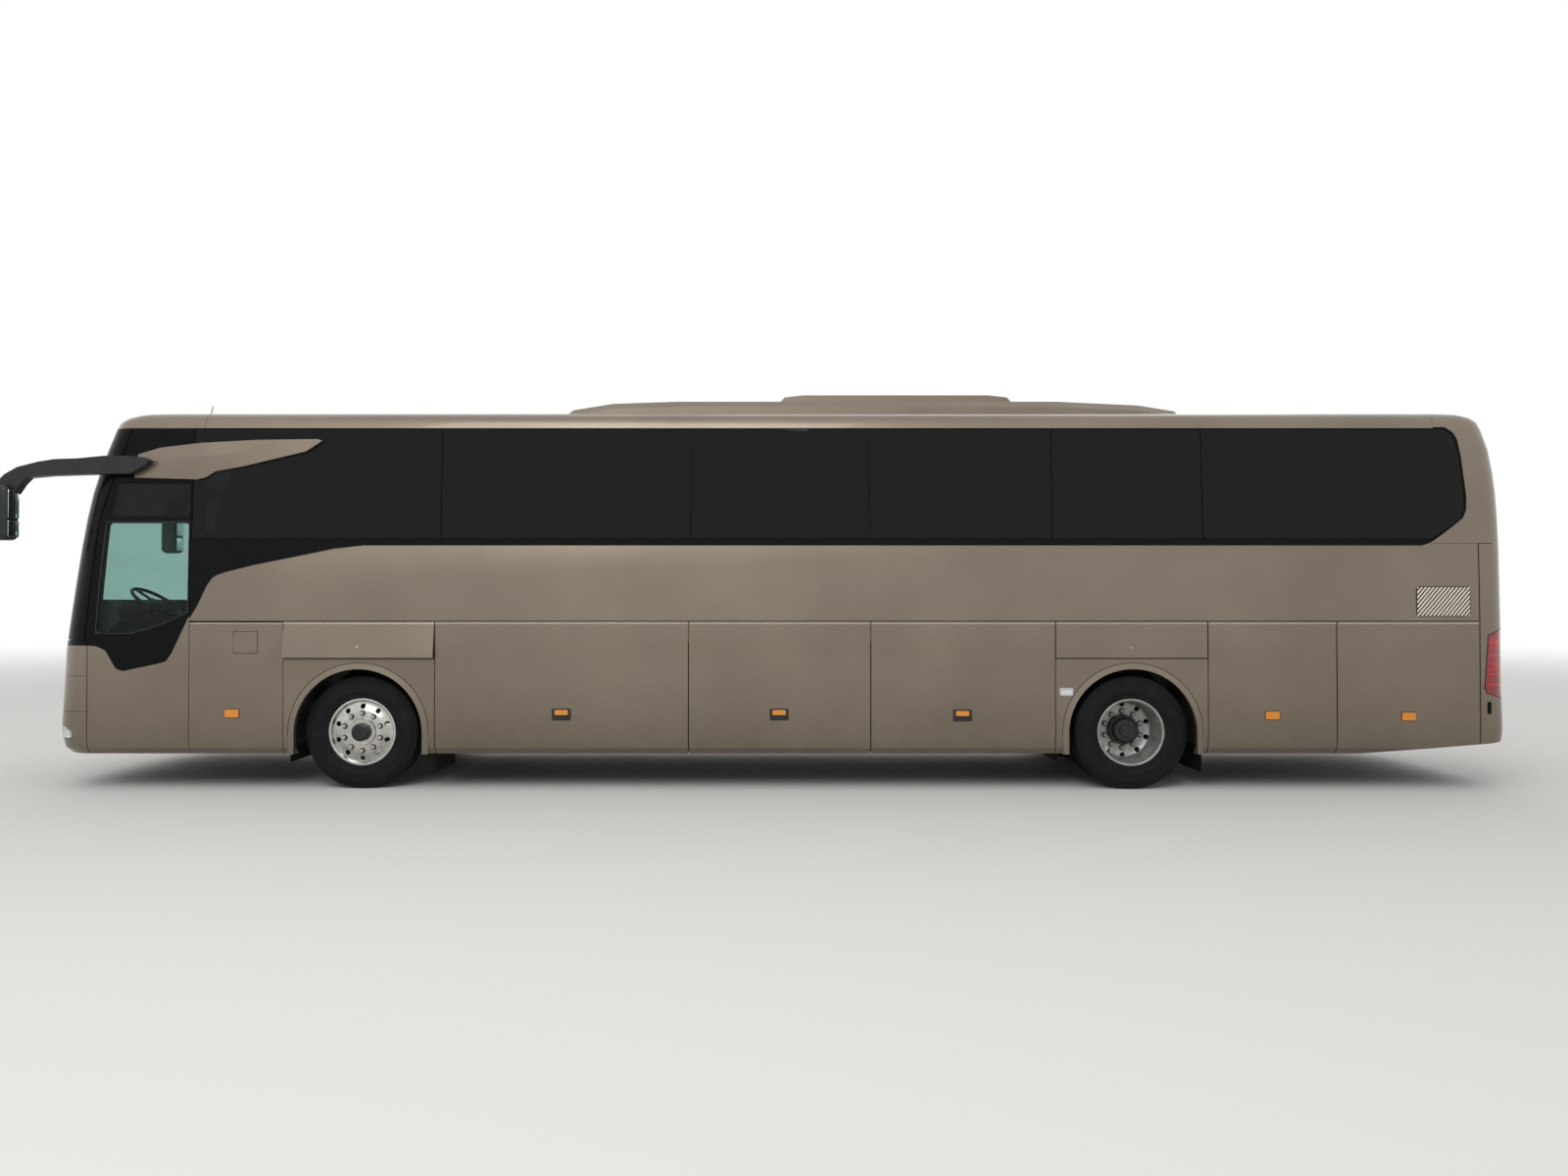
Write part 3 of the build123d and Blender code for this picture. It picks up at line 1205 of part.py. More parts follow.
with BuildPart() as mirrors:
    for side, name in SIDES:
        arm = side_prism(ARM_OUTLINE, side, inner_y=ARM_Y[0], outer_y=ARM_Y[1])
        add(arm - hull(-FAIRING_PROUD - SEAT_CLEARANCE, False) + mirror_head(side))
write(mirrors.part, "mirrors")

# Doors on the right: leaf, glass, and the arm that carries the leaf from a column in the stairwell
DOOR_BORDER = 90.0
BRACKET_T = 30.0
DOOR_RAIL = 70.0
mid_door_x = shrink(MID_DOOR_X, SEAM)
mid_door_outline = [(x, DOOR_FOOT_Z) for x in mid_door_x]
mid_door_outline += [(x, MID_DOOR_HEAD_Z - SEAM) for x in reversed(mid_door_x)]

# Doors: name, outline, opening, column, direction of its arm along X, tread under the column
DOORS = (
    (
        "front_door",
        front_door_outline(SEAM),
        FRONT_DOOR_X,
        FRONT_DOOR_X[0] + DOOR_COLUMN_INSET,
        1,
        first_tread(FRONT_STEP_FOOT_Z, CAB_FLOOR_Z, FRONT_STEPS),
    ),
    (
        "mid_door",
        mid_door_outline,
        MID_DOOR_X,
        MID_DOOR_X[1] - DOOR_COLUMN_INSET,
        -1,
        first_tread(MID_STEP_FOOT_Z, SALOON_FLOOR_Z, MID_STEPS),
    ),
)
LUG_OFFSET = DOOR_ARM_T / 2 + KNUCKLE_GAP + BRACKET_T / 2
LUG_END_Y = HALF_WIDTH - FLAP + 4
for door_name, outline, opening_x, column_x, reach, tread_z in DOORS:
    pin_x = column_x + reach * DOOR_ARM
    lights = side_prism(outline, 1, 40.0, DOOR_BORDER)
    with BuildPart() as leaf:
        add(flap_skin & side_prism(outline, 1))
        add(side_prism(outline, 1, 20.0, DOOR_BORDER + 25), mode=Mode.SUBTRACT)
        for level in DOOR_ARM_LEVELS:
            rail_z = (level - DOOR_RAIL, level + DOOR_RAIL)
            add(flap_skin & side_prism(outline, 1) & side_block(opening_x, rail_z, 1))
        add(glass_bed & lights, mode=Mode.SUBTRACT)
        for level in DOOR_ARM_LEVELS:
            for lug_z in (level - LUG_OFFSET, level + LUG_OFFSET):
                with Locations((pin_x, DOOR_COLUMN_Y, lug_z)):
                    Cylinder(DOOR_PIN_R + 14, BRACKET_T)
                with Locations((pin_x, (DOOR_COLUMN_Y + LUG_END_Y) / 2, lug_z)):
                    Box(2 * DOOR_PIN_R + 10, LUG_END_Y - DOOR_COLUMN_Y, BRACKET_T)
            with Locations((pin_x, DOOR_COLUMN_Y, level)):
                Cylinder(DOOR_PIN_R, DOOR_ARM_T + 2)
    write(leaf.part, f"{door_name}_leaf")
    with BuildPart() as door_glass:
        add(glass_skin & side_prism(outline, 1, 40.0, DOOR_BORDER + 1))
    write(door_glass.part, f"{door_name}_glass")
    with BuildPart() as door_arm:
        column_z = (tread_z + SEAT_CLEARANCE, DOOR_ARM_LEVELS[1] + 120)
        with Locations((column_x, DOOR_COLUMN_Y, sum(column_z) / 2)):
            Cylinder(DOOR_COLUMN_R, column_z[1] - column_z[0])
        for level in DOOR_ARM_LEVELS:
            with Locations(((column_x + pin_x) / 2, DOOR_COLUMN_Y, level)):
                Box(DOOR_ARM, 30, DOOR_ARM_T)
            with Locations((pin_x, DOOR_COLUMN_Y, level)):
                Cylinder(DOOR_PIN_R + 12, DOOR_ARM_T)
                Cylinder(DOOR_PIN_R + KNUCKLE_GAP, DOOR_ARM_T, mode=Mode.SUBTRACT)
    write(door_arm.part, f"{door_name}_arm")
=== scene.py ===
import bpy
import bmesh
import math
from mathutils import Matrix, Vector


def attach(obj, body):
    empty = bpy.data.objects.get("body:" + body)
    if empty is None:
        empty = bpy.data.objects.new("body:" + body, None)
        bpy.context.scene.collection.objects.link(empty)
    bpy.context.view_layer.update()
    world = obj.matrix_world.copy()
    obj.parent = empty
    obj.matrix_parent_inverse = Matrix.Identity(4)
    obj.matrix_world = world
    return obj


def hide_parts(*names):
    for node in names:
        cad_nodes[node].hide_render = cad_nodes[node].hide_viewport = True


# A touring coach in metres, in the frame of its CAD model: its front points to -X, the driver sits on
# the -Y side, and the ground is z = 0. Each section dresses one piece or group of like pieces.
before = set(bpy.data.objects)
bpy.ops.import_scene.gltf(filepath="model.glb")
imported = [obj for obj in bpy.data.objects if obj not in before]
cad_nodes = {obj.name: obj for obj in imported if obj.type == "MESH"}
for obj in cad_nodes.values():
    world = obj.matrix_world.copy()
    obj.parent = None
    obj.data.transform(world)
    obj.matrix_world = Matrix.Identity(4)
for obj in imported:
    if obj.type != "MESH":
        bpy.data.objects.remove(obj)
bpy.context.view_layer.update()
collection = bpy.context.scene.collection

# Painted body panels: pressed and moulded skins in a champagne metallic basecoat under clear lacquer.
# Each is the CAD panel with its edges rolled over, as the real ones are hemmed, so that seams catch light.
ROAD_DUST = "#5d554a"
SILL_DUST_Z = (0.3, 0.95)
PANEL_HEM = 0.004
SHARP_DEG = 32.0


def linear(text):
    """An sRGB hex colour as a linear RGBA value."""
    channels = [int(text[i:i + 2], 16) / 255 for i in (1, 3, 5)]
    return [c / 12.92 if c <= 0.04045 else ((c + 0.055) / 1.055) ** 2.4 for c in channels] + [1.0]


def new_material(name):
    """An empty node material."""
    material = bpy.data.materials.new(name)
    material.use_nodes = True
    material.node_tree.nodes.clear()
    return material


def add_node(tree, kind, values=None, links=None, **settings):
    """Add a node with its settings, the values of its own sockets, and the links that feed it."""
    node = tree.nodes.new(kind)
    for name, value in settings.items():
        setattr(node, name, value)
    for socket, value in (values or {}).items():
        node.inputs[socket].default_value = value
    for socket, source in (links or {}).items():
        tree.links.new(source, node.inputs[socket])
    return node


def surface(material, shader):
    """Connect a shader to a new output node."""
    add_node(material.node_tree, "ShaderNodeOutputMaterial", links={"Surface": shader.outputs[0]})
    return material


def ramp_stops(node, stops):
    """Set the stops of a colour ramp from pairs of position and hex colour."""
    ramp = node.color_ramp
    while len(ramp.elements) < len(stops):
        ramp.elements.new(0.5)
    for element, (position, colour) in zip(ramp.elements, stops):
        element.position = position
        element.color = linear(colour)


# Aluminium flakes give the basecoat its soft lift towards the light, the lacquer gives the sharp gloss
champagne_lacquer = new_material("champagne_metallic_lacquer")
tree = champagne_lacquer.node_tree
place = add_node(tree, "ShaderNodeTexCoord")
on_object = {"Vector": place.outputs["Object"]}
height = add_node(tree, "ShaderNodeSeparateXYZ", links={0: place.outputs["Object"]})
cloudy = add_node(tree, "ShaderNodeTexNoise", {"Scale": 1.1, "Detail": 3.0, "Roughness": 0.5}, on_object)
dusty = add_node(tree, "ShaderNodeTexNoise", {"Scale": 6.0, "Detail": 8.0, "Roughness": 0.65}, on_object)
low = add_node(
    tree,
    "ShaderNodeMapRange",
    {"From Min": SILL_DUST_Z[0], "From Max": SILL_DUST_Z[1], "To Min": 0.75, "To Max": 0.0},
    {"Value": height.outputs["Z"]},
)
spread = add_node(
    tree, "ShaderNodeMath", links={0: low.outputs[0], 1: dusty.outputs["Fac"]}, operation="MULTIPLY"
)
tone = add_node(tree, "ShaderNodeValToRGB", links={"Fac": cloudy.outputs["Fac"]})
ramp_stops(tone, ((0.3, "#766a5b"), (0.7, "#817565")))
coat_colour = add_node(
    tree,
    "ShaderNodeMix",
    {7: linear(ROAD_DUST)},
    {0: spread.outputs[0], 6: tone.outputs[0]},
    data_type="RGBA",
)
# Flakes are 30 microns across, too fine to show, and are drawn at 3 mm
flakes = add_node(tree, "ShaderNodeTexNoise", {"Scale": 330.0, "Detail": 1.0}, on_object)
# Orange peel in sprayed lacquer has waves of about 8 mm
peel = add_node(tree, "ShaderNodeTexNoise", {"Scale": 120.0, "Detail": 1.0}, on_object)
peel_bump = add_node(
    tree, "ShaderNodeBump", {"Strength": 0.02, "Distance": 0.001}, {"Height": peel.outputs["Fac"]}
)
sheen_range = add_node(
    tree,
    "ShaderNodeMapRange",
    {"From Min": 0.3, "From Max": 0.7, "To Min": 0.34, "To Max": 0.44},
    {"Value": flakes.outputs["Fac"]},
)
paint = add_node(
    tree,
    "ShaderNodeBsdfPrincipled",
    {"Metallic": 0.7, "Coat Weight": 0.6, "Coat Roughness": 0.06, "IOR": 1.5},
    {
        "Base Color": coat_colour.outputs[2],
        "Roughness": sheen_range.outputs[0],
        "Normal": peel_bump.outputs[0],
    },
)
surface(champagne_lacquer, paint)


def finish(name, values, mottle=None, colours=None, gloss=None, relief=None, bump=None):
    """A material with one shader and the values of its sockets. The mottle is a texture that blends the
    colours, and gives the roughness where a range of gloss is named. The bump has a strength and a depth,
    and follows the relief, another texture, or the mottle where there is none."""
    material = new_material(name)
    tree = material.node_tree
    heights = []
    for texture in filter(None, (mottle, relief)):
        place = add_node(tree, "ShaderNodeTexCoord")
        outputs = add_node(tree, links={"Vector": place.outputs["Object"]}, **texture).outputs
        heights.append(outputs.get("Fac") or outputs["Distance"])
    links = {}
    if colours:
        tint = add_node(tree, "ShaderNodeValToRGB", links={"Fac": heights[0]})
        ramp_stops(tint, colours)
        links["Base Color"] = tint.outputs[0]
    if gloss:
        links["Roughness"] = add_node(tree, "ShaderNodeMapRange", gloss, {"Value": heights[0]}).outputs[0]
    if bump:
        depth = {"Strength": bump[0], "Distance": bump[1]}
        links["Normal"] = add_node(tree, "ShaderNodeBump", depth, {"Height": heights[-1]}).outputs[0]
    return surface(material, add_node(tree, "ShaderNodeBsdfPrincipled", values, links))


# Plain black lacquer between and under the windows: as glossy as the champagne, without its flakes, and
# hazed by road dust
black_lacquer = finish(
    "black_gloss_lacquer",
    {"Specular IOR Level": 0.1},
    dict(kind="ShaderNodeTexNoise", values={"Scale": 5.0, "Detail": 6.0, "Roughness": 0.6}),
    ((0.3, "#08090b"), (0.8, "#0e0f12")),
    gloss={"To Min": 0.1, "To Max": 0.26},
)
# Painted highlight along the head of every flap and the top of the skirts: a pale metallic strip, which
# shows as a thin bright line where their bevelled top edges catch light
painted_highlight_strip = finish(
    "painted_highlight_strip",
    {"Metallic": 1.0, "Roughness": 0.32},
    dict(kind="ShaderNodeTexNoise", values={"Scale": 40.0, "Detail": 3.0}),
    ((0.3, "#c9c1b4"), (0.7, "#b3aa9b")),
)
# Lining inside every wall: flocked grey mouldings, dull and soft, with a pile drawn at 4 mm
cabin_lining = finish(
    "moulded_cabin_lining",
    {"Roughness": 0.85},
    dict(kind="ShaderNodeTexNoise", values={"Scale": 260.0, "Detail": 2.0}),
    ((0.3, "#2c2d30"), (0.7, "#3a3b3f")),
    bump=(0.15, 0.001),
)

# Where the black lacquer ends, as outlines in X and Z: the sweep down from the windows to the driver's
# panel, and the panel's own notch under the driver's window
SALOON_BLACK = (
    (-5.04, 3.236), (6.165, 3.236), (6.23, 3.196), (6.274, 3.127), (6.301, 2.973), (6.335, 2.617),
    (6.331, 2.492), (6.297, 2.416), (6.218, 2.353), (6.063, 2.238), (6.008, 2.199), (5.926, 2.171),
    (-3.056, 2.171), (-3.491, 2.171), (-3.763, 2.141), (-4.091, 2.072), (-4.465, 1.997), (-4.712, 1.934),
    (-4.79, 1.908), (-4.828, 1.885), (-4.874, 1.822), (-4.961, 1.637), (-5.04, 1.50),
)
CAB_BLACK = (
    (-5.0, 3.236), (-6.2, 3.236), (-6.2, 1.281), (-5.927, 1.281), (-5.86, 1.275), (-5.825, 1.262),
    (-5.774, 1.236), (-5.69, 1.09), (-5.665, 1.068), (-5.614, 1.055), (-5.28, 1.127), (-5.235, 1.145),
    (-5.187, 1.21), (-5.031, 1.55), (-5.0, 1.60),
)
MASK_BLACK = ((-6.5, 1.281), (-5.9, 1.281), (-5.9, 1.4), (-6.5, 1.4))
PANELS = (
    ("cab_sides", CAB_BLACK),
    ("saloon_side_left", SALOON_BLACK),
    ("saloon_side_right", SALOON_BLACK),
    ("skirts", None),
    ("front_mask", MASK_BLACK),
    ("front_cap", None),
    ("roof", None),
    ("rear_cap", SALOON_BLACK),
    ("rear_mask", None),
    ("roof_unit", None),
    ("mirror_fairings", None),
)
# The long seam under the belt panels: painted shade of its gap, a black band along the foot of the saloon
# sides, over the painted highlight along the heads of the flaps
BELT_SEAM_Z = 1.489
SEAM_HALF = 0.005
PAINTED_BAND_HEIGHT = 0.008
PAINTED_SEAM_SHADE_TOP_Z = BELT_SEAM_Z + SEAM_HALF + PAINTED_BAND_HEIGHT
PAINTED_HIGHLIGHT_FOOT_Z = BELT_SEAM_Z - SEAM_HALF - PAINTED_BAND_HEIGHT
FLAP_HEAD_Z = 1.487
# Lips over the wheels stand out most at their inner edge and slope up to the panel
FRONT_AXLE_X = -3.528
REAR_AXLE_X = 3.345
TYRE_R = 0.505
LIP_OUTER_R = 0.621
LIP_FACE_Y = 1.2845
LIP_EDGE_Y = 1.2758
# Crease along each mirror fairing: its line in X and Z, how far it stands out, and the shares of its
# length in which it rises and dies away
CREASE = ((-5.45, 2.921), (-4.42, 3.013))
CREASE_PROUD = 0.016
CREASE_RISE = 0.2
CREASE_FALL = 0.4
CREASE_STEPS = 10
CREASE_SMOOTH_DEG = 7.0
# Least share of a face's direction that makes it look outwards, inwards or down
FACING = 0.7
CABIN_HALF_WIDTH = 0.9
CEILING_Z = 3.2


def panel_mesh(node):
    """A merged copy of a CAD node's mesh."""
    mesh = bmesh.new()
    mesh.from_mesh(cad_nodes[node].data)
    bmesh.ops.remove_doubles(mesh, verts=mesh.verts, dist=0.00002)
    return mesh


def cut_along(mesh, plane_co, plane_no, faces=None):
    """Cut a mesh, or only some of its faces, along a plane."""
    geom = mesh.verts[:] + mesh.edges[:] + mesh.faces[:]
    if faces is not None:
        edges = {edge for face in faces for edge in face.edges}
        verts = {vert for face in faces for vert in face.verts}
        geom = faces + list(edges) + list(verts)
    bmesh.ops.bisect_plane(mesh, geom=geom, plane_co=plane_co, plane_no=plane_no)


def merge_flat(mesh, degrees=0.4):
    """Merge faces of one material that lie flat side by side."""
    bmesh.ops.dissolve_limit(
        mesh, angle_limit=math.radians(degrees), verts=mesh.verts, edges=mesh.edges, delimit={"MATERIAL"}
    )


def inside(x, z, outline):
    """Whether a point lies inside an outline."""
    hits = False
    for (x0, z0), (x1, z1) in zip(outline, outline[1:] + outline[:1]):
        if (z0 > z) != (z1 > z) and x < x0 + (z - z0) / (z1 - z0) * (x1 - x0):
            hits = not hits
    return hits


def mask_off(mesh, outline, index):
    """Cut the mesh along an outline, as a painter masks it off, and give the faces in it a material."""
    for (x0, z0), (x1, z1) in zip(outline, outline[1:] + outline[:1]):
        near = []
        for face in mesh.faces:
            xs = [v.co.x for v in face.verts]
            zs = [v.co.z for v in face.verts]
            across = min(xs) < max(x0, x1) and max(xs) > min(x0, x1)
            if across and min(zs) < max(z0, z1) + 0.001 and max(zs) > min(z0, z1) - 0.001:
                near.append(face)
        cut_along(mesh, (x0, 0, z0), (z0 - z1, 0, x1 - x0), near)
    for face in mesh.faces:
        centre = face.calc_center_median()
        if inside(centre.x, centre.z, outline):
            face.material_index = index


def line_inside(mesh, index):
    """Give the faces that look into the cabin the lining's material."""
    for face in mesh.faces:
        centre = face.calc_center_median()
        inward = Vector((0, -centre.y, 0)).normalized()
        if abs(centre.y) < CABIN_HALF_WIDTH:
            inward = Vector((-centre.x, 0, 0)).normalized()
        if centre.z > CEILING_Z:
            inward = Vector((0, 0, -1))
        if face.normal.dot(inward) > FACING:
            face.material_index = index


def outer_faces(mesh):
    """Faces of the side panels that look outwards."""
    return [face for face in mesh.faces if face.normal.y * face.calc_center_median().y > FACING]


def trim_edge(mesh, cut_z, edge_z, index):
    """Cut the mesh across at a height, and give its outer faces from there to another a material."""
    cut_along(mesh, (0, 0, cut_z), (0, 0, 1))
    low, high = sorted((cut_z, edge_z))
    for face in outer_faces(mesh):
        if low < face.calc_center_median().z < high:
            face.material_index = index


def slope_lips(mesh):
    """Press the outer edge of each wheel-arch lip back to the panel's face."""
    for vert in mesh.verts:
        if abs(vert.co.y) < LIP_FACE_Y:
            continue
        for axle_x in (FRONT_AXLE_X, REAR_AXLE_X):
            radius = math.hypot(vert.co.x - axle_x, max(vert.co.z - TYRE_R, 0.0))
            if abs(radius - LIP_OUTER_R) < 0.004:
                vert.co.y = math.copysign(LIP_EDGE_Y, vert.co.y)


def raise_crease(mesh):
    """Pull the outer faces of the fairings out along a line, so that they catch light above it."""
    (x0, z0), (x1, z1) = CREASE
    cuts = [((x0 + (x1 - x0) * step / CREASE_STEPS, 0, 0), (1, 0, 0)) for step in range(CREASE_STEPS + 1)]
    cuts.append(((x0, 0, z0), (z0 - z1, 0, x1 - x0)))
    for plane_co, plane_no in cuts:
        mesh.normal_update()
        cut_along(mesh, plane_co, plane_no, outer_faces(mesh))
    mesh.normal_update()
    for vert in {vert for face in outer_faces(mesh) for vert in face.verts}:
        share = (vert.co.x - x0) / (x1 - x0)
        if 0 < share < 1 and abs(vert.co.z - z0 - share * (z1 - z0)) < 0.0005:
            proud = CREASE_PROUD * min(1, share / CREASE_RISE, (1 - share) / CREASE_FALL)
            vert.co.y += math.copysign(proud, vert.co.y)


def make_piece(mesh, name, materials, body, replaced=(), hem=0.0, smooth_deg=SHARP_DEG):
    """Finish a mesh as a piece: materials, smooth shading between sharp edges, rolled edges, its body."""
    for face in mesh.faces:
        face.smooth = True
    for edge in mesh.edges:
        edge.smooth = edge.calc_face_angle(0.0) < math.radians(smooth_deg)
    data = bpy.data.meshes.new(name)
    mesh.to_mesh(data)
    mesh.free()
    for material in materials:
        data.materials.append(material)
    piece = bpy.data.objects.new(name, data)
    collection.objects.link(piece)
    if hem:
        rolled = piece.modifiers.new("hem", "BEVEL")
        rolled.width = hem
        rolled.segments = 2
        rolled.limit_method = "ANGLE"
        rolled.angle_limit = math.radians(smooth_deg)
        rolled.harden_normals = True
    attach(piece, body)
    if replaced:
        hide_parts(*replaced)
    return piece


for node, black_area in PANELS:
    mesh = panel_mesh(node)
    if node == "skirts":
        slope_lips(mesh)
    line_inside(mesh, 2)
    if black_area:
        mask_off(mesh, black_area, 1)
    # Painted shade: the foot of each saloon side is black where the seam's gap under it lies in shade
    if node.startswith("saloon_side"):
        trim_edge(mesh, PAINTED_SEAM_SHADE_TOP_Z, BELT_SEAM_Z, 1)
    # Painted highlight: a pale strip along the top edge of the skirts, for the light caught on it
    if node == "skirts":
        trim_edge(mesh, PAINTED_HIGHLIGHT_FOOT_Z, BELT_SEAM_Z, 3)
    merge_flat(mesh)
    if node == "mirror_fairings":
        raise_crease(mesh)
    make_piece(
        mesh,
        f"{node}_skin",
        (champagne_lacquer, black_lacquer, cabin_lining, painted_highlight_strip),
        "coach",
        (node,),
        PANEL_HEM,
        CREASE_SMOOTH_DEG if node == "mirror_fairings" else SHARP_DEG,
    )

# Flaps along both sides, filler lid and engine hatch: aluminium skins in the same lacquer, which close on
# rubber stops. The flaps and the hatch hinge at their heads, and the lid at its front edge. The lid is
# thin, so its edges are rolled tighter.
FLAPS = (
    "front_arch_flap_left", "front_arch_flap_right", "bay_flap_1_left", "bay_flap_1_right",
    "bay_flap_2_left", "bay_flap_2_right", "bay_flap_3_left", "rear_arch_flap_left",
    "rear_arch_flap_right", "engine_flap_1_left", "engine_flap_1_right", "engine_flap_2_left",
    "engine_flap_2_right", "filler_lid", "engine_hatch",
)
LID_HEM = 0.001
for node in FLAPS:
    mesh = panel_mesh(node)
    # Painted highlight: a pale strip along each flap's head, for the light caught on its bevelled top edge
    if node not in ("filler_lid", "engine_hatch"):
        trim_edge(mesh, PAINTED_HIGHLIGHT_FOOT_Z, FLAP_HEAD_Z, 1)
    merge_flat(mesh)
    hem = LID_HEM if node == "filler_lid" else PANEL_HEM
    finishes = (champagne_lacquer, painted_highlight_strip)
    make_piece(mesh, f"{node}_skin", finishes, node, (node,), hem)

# Door leaves: bonded aluminium frames with champagne outer skins, lined inside, and black round the front
# one's glass, in line with the sweep of the cab's side
DOOR_LEAVES = (("front_door_leaf", "front_door", CAB_BLACK), ("mid_door_leaf", "mid_door", None))
DOOR_HEM = 0.003
for node, body, black_area in DOOR_LEAVES:
    mesh = panel_mesh(node)
    line_inside(mesh, 2)
    if black_area:
        mask_off(mesh, black_area, 1)
    merge_flat(mesh)
    finishes = (champagne_lacquer, black_lacquer, cabin_lining)
    make_piece(mesh, f"{node}_skin", finishes, body, (node,), DOOR_HEM)

# Bonded glass: heavily tinted double panes along the saloon, and pale green laminated glass for the
# driver, with the small window over each cab side as dark as the saloon's. Its index is set low, because
# this studio is white all round and real glass would mirror it as a veil
tinted_glass = finish(
    "tinted_toughened_glass",
    {"Base Color": linear("#14171a"), "Roughness": 0.015, "IOR": 1.3, "Transmission Weight": 1.0},
)
green_glass = finish(
    "green_laminated_glass",
    {"Base Color": linear("#b4cdc8"), "Roughness": 0.01, "IOR": 1.22, "Transmission Weight": 1.0},
)
# Side edge of the windscreen: a place in X and Z and its lean back, below and above its bend
SCREEN_FOOT = (-5.955, 1.315, 0.1032)
SCREEN_BEND = (-5.843, 2.4, 0.3236)
# Black enamel is fired on round the windscreen's edge, where its frame is bonded on behind
ENAMEL_SIDE_Y = 1.075
ENAMEL_Z = (1.40, 3.13)


def in_windscreen(face):
    """Whether a face of the cab's glass lies ahead of the windscreen's side edge."""
    centre = face.calc_center_median()
    x, z, lean = SCREEN_FOOT if centre.z < SCREEN_BEND[1] else SCREEN_BEND
    return centre.x < x + (centre.z - z) * lean


def finish_cad(node, material):
    """Give a CAD node that keeps its shape its own material."""
    slots = cad_nodes[node].data.materials
    slots.clear()
    slots.append(material)


finish_cad("saloon_glazing", tinted_glass)
for node in ("front_door_glass", "mid_door_glass"):
    finish_cad(node, green_glass)
mesh = panel_mesh("cab_glazing")
for plane_co, plane_no in (
    ((0, -ENAMEL_SIDE_Y, 0), (0, 1, 0)),
    ((0, ENAMEL_SIDE_Y, 0), (0, 1, 0)),
    ((0, 0, ENAMEL_Z[0]), (0, 0, 1)),
    ((0, 0, ENAMEL_Z[1]), (0, 0, 1)),
):
    cut_along(mesh, plane_co, plane_no, [face for face in mesh.faces if in_windscreen(face)])
for face in mesh.faces:
    centre = face.calc_center_median()
    if in_windscreen(face):
        clear = abs(centre.y) < ENAMEL_SIDE_Y and ENAMEL_Z[0] < centre.z < ENAMEL_Z[1]
        face.material_index = 0 if clear else 2
    elif centre.z > SCREEN_BEND[1]:
        face.material_index = 1
finishes = (green_glass, tinted_glass, black_lacquer)
make_piece(mesh, "cab_panes", finishes, "coach", ("cab_glazing",), smooth_deg=30.0)

# Mirror arms and heads: glass-filled nylon mouldings bolted to the fairings, thicker in the middle than
# at their edges, with a wide-angle glass under the main one on the side that faces back.
# Moulded grain is about 0.8 mm across, dulls the black, and is drawn at 3 mm, so that it shows
black_plastic = finish(
    "grained_black_plastic",
    {"Roughness": 0.42, "Specular IOR Level": 0.4},
    dict(kind="ShaderNodeTexNoise", values={"Scale": 8.0, "Detail": 5.0, "Roughness": 0.6}),
    ((0.3, "#151619"), (0.75, "#232427")),
    relief=dict(kind="ShaderNodeTexVoronoi", values={"Scale": 320.0}),
    bump=(0.12, 0.0008),
)
# Silvering behind the glass, which mirrors almost sharply
silvered_mirror = finish(
    "silvered_mirror_glass", {"Base Color": linear("#cfd6da"), "Metallic": 1.0, "Roughness": 0.02}
)
HANDS = {-1: "left", 1: "right"}
# Glass of each head: centre and half size across and up, on the face that looks back
MIRROR_GLASSES = ((2.535, 0.068, 0.125), (2.315, 0.068, 0.07))
MIRROR_THICKNESS = 0.008
MIRROR_BACK_X = -6.562
MIRROR_Y = 1.3265


def add_box(mesh, centre, size, turn=Matrix()):
    """A block with its centre, its size along each axis, and its turn."""
    at = Matrix.Translation(centre) @ turn
    bmesh.ops.create_cube(mesh, size=1.0, matrix=at @ Matrix.Diagonal((*size, 1)))


def round_edges(mesh, edges, radius, segments):
    """Round edges of a mesh."""
    bmesh.ops.bevel(
        mesh, geom=edges, offset=radius, segments=segments, profile=0.5, affect="EDGES", material=-1
    )


mesh = panel_mesh("mirrors")
merge_flat(mesh, 1.0)
make_piece(mesh, "mirror_arms", (black_plastic,), "coach", ("mirrors",), 0.018, 28.0)
for side, hand in HANDS.items():
    mesh = bmesh.new()
    for centre_z, half_y, half_z in MIRROR_GLASSES:
        size = (MIRROR_THICKNESS, 2 * half_y, 2 * half_z)
        add_box(mesh, (MIRROR_BACK_X, side * MIRROR_Y, centre_z), size)
    round_edges(mesh, mesh.edges, 0.003, 2)
    make_piece(mesh, f"mirror_glass_{hand}", (silvered_mirror,), "coach")

# Windscreen frame and dashboard: a black lacquered frame that the screen is bonded to, and a soft moulded
# fascia with broad rounded edges, screwed across the cab
mesh = panel_mesh("screen_frame")
make_piece(mesh, "screen_frame_trim", (black_lacquer,), "coach", ("screen_frame",), 0.002)
mesh = panel_mesh("dashboard")
merge_flat(mesh, 1.0)
make_piece(mesh, "fascia", (black_plastic,), "coach", ("dashboard",), 0.02)

# Steering wheel: a padded rim on three spokes over a raked column, moulded in black foam on a steel core
# and keyed to the column under its hub
STEERING_CENTRE = Vector((-5.66, -0.70, 1.655))
STEERING_TILT = math.radians(34)
STEERING_R = 0.225
GRIP_R = 0.016
GRIP_Z = 0.012
SPOKE = (0.18, 0.045, 0.014)


def add_cone(mesh, matrix, radii, depth, segments):
    """A capped cone or cylinder at a place, with the radii of its foot and its head."""
    bmesh.ops.create_cone(
        mesh,
        cap_ends=True,
        segments=segments,
        radius1=radii[0],
        radius2=radii[1],
        depth=depth,
        matrix=matrix,
    )


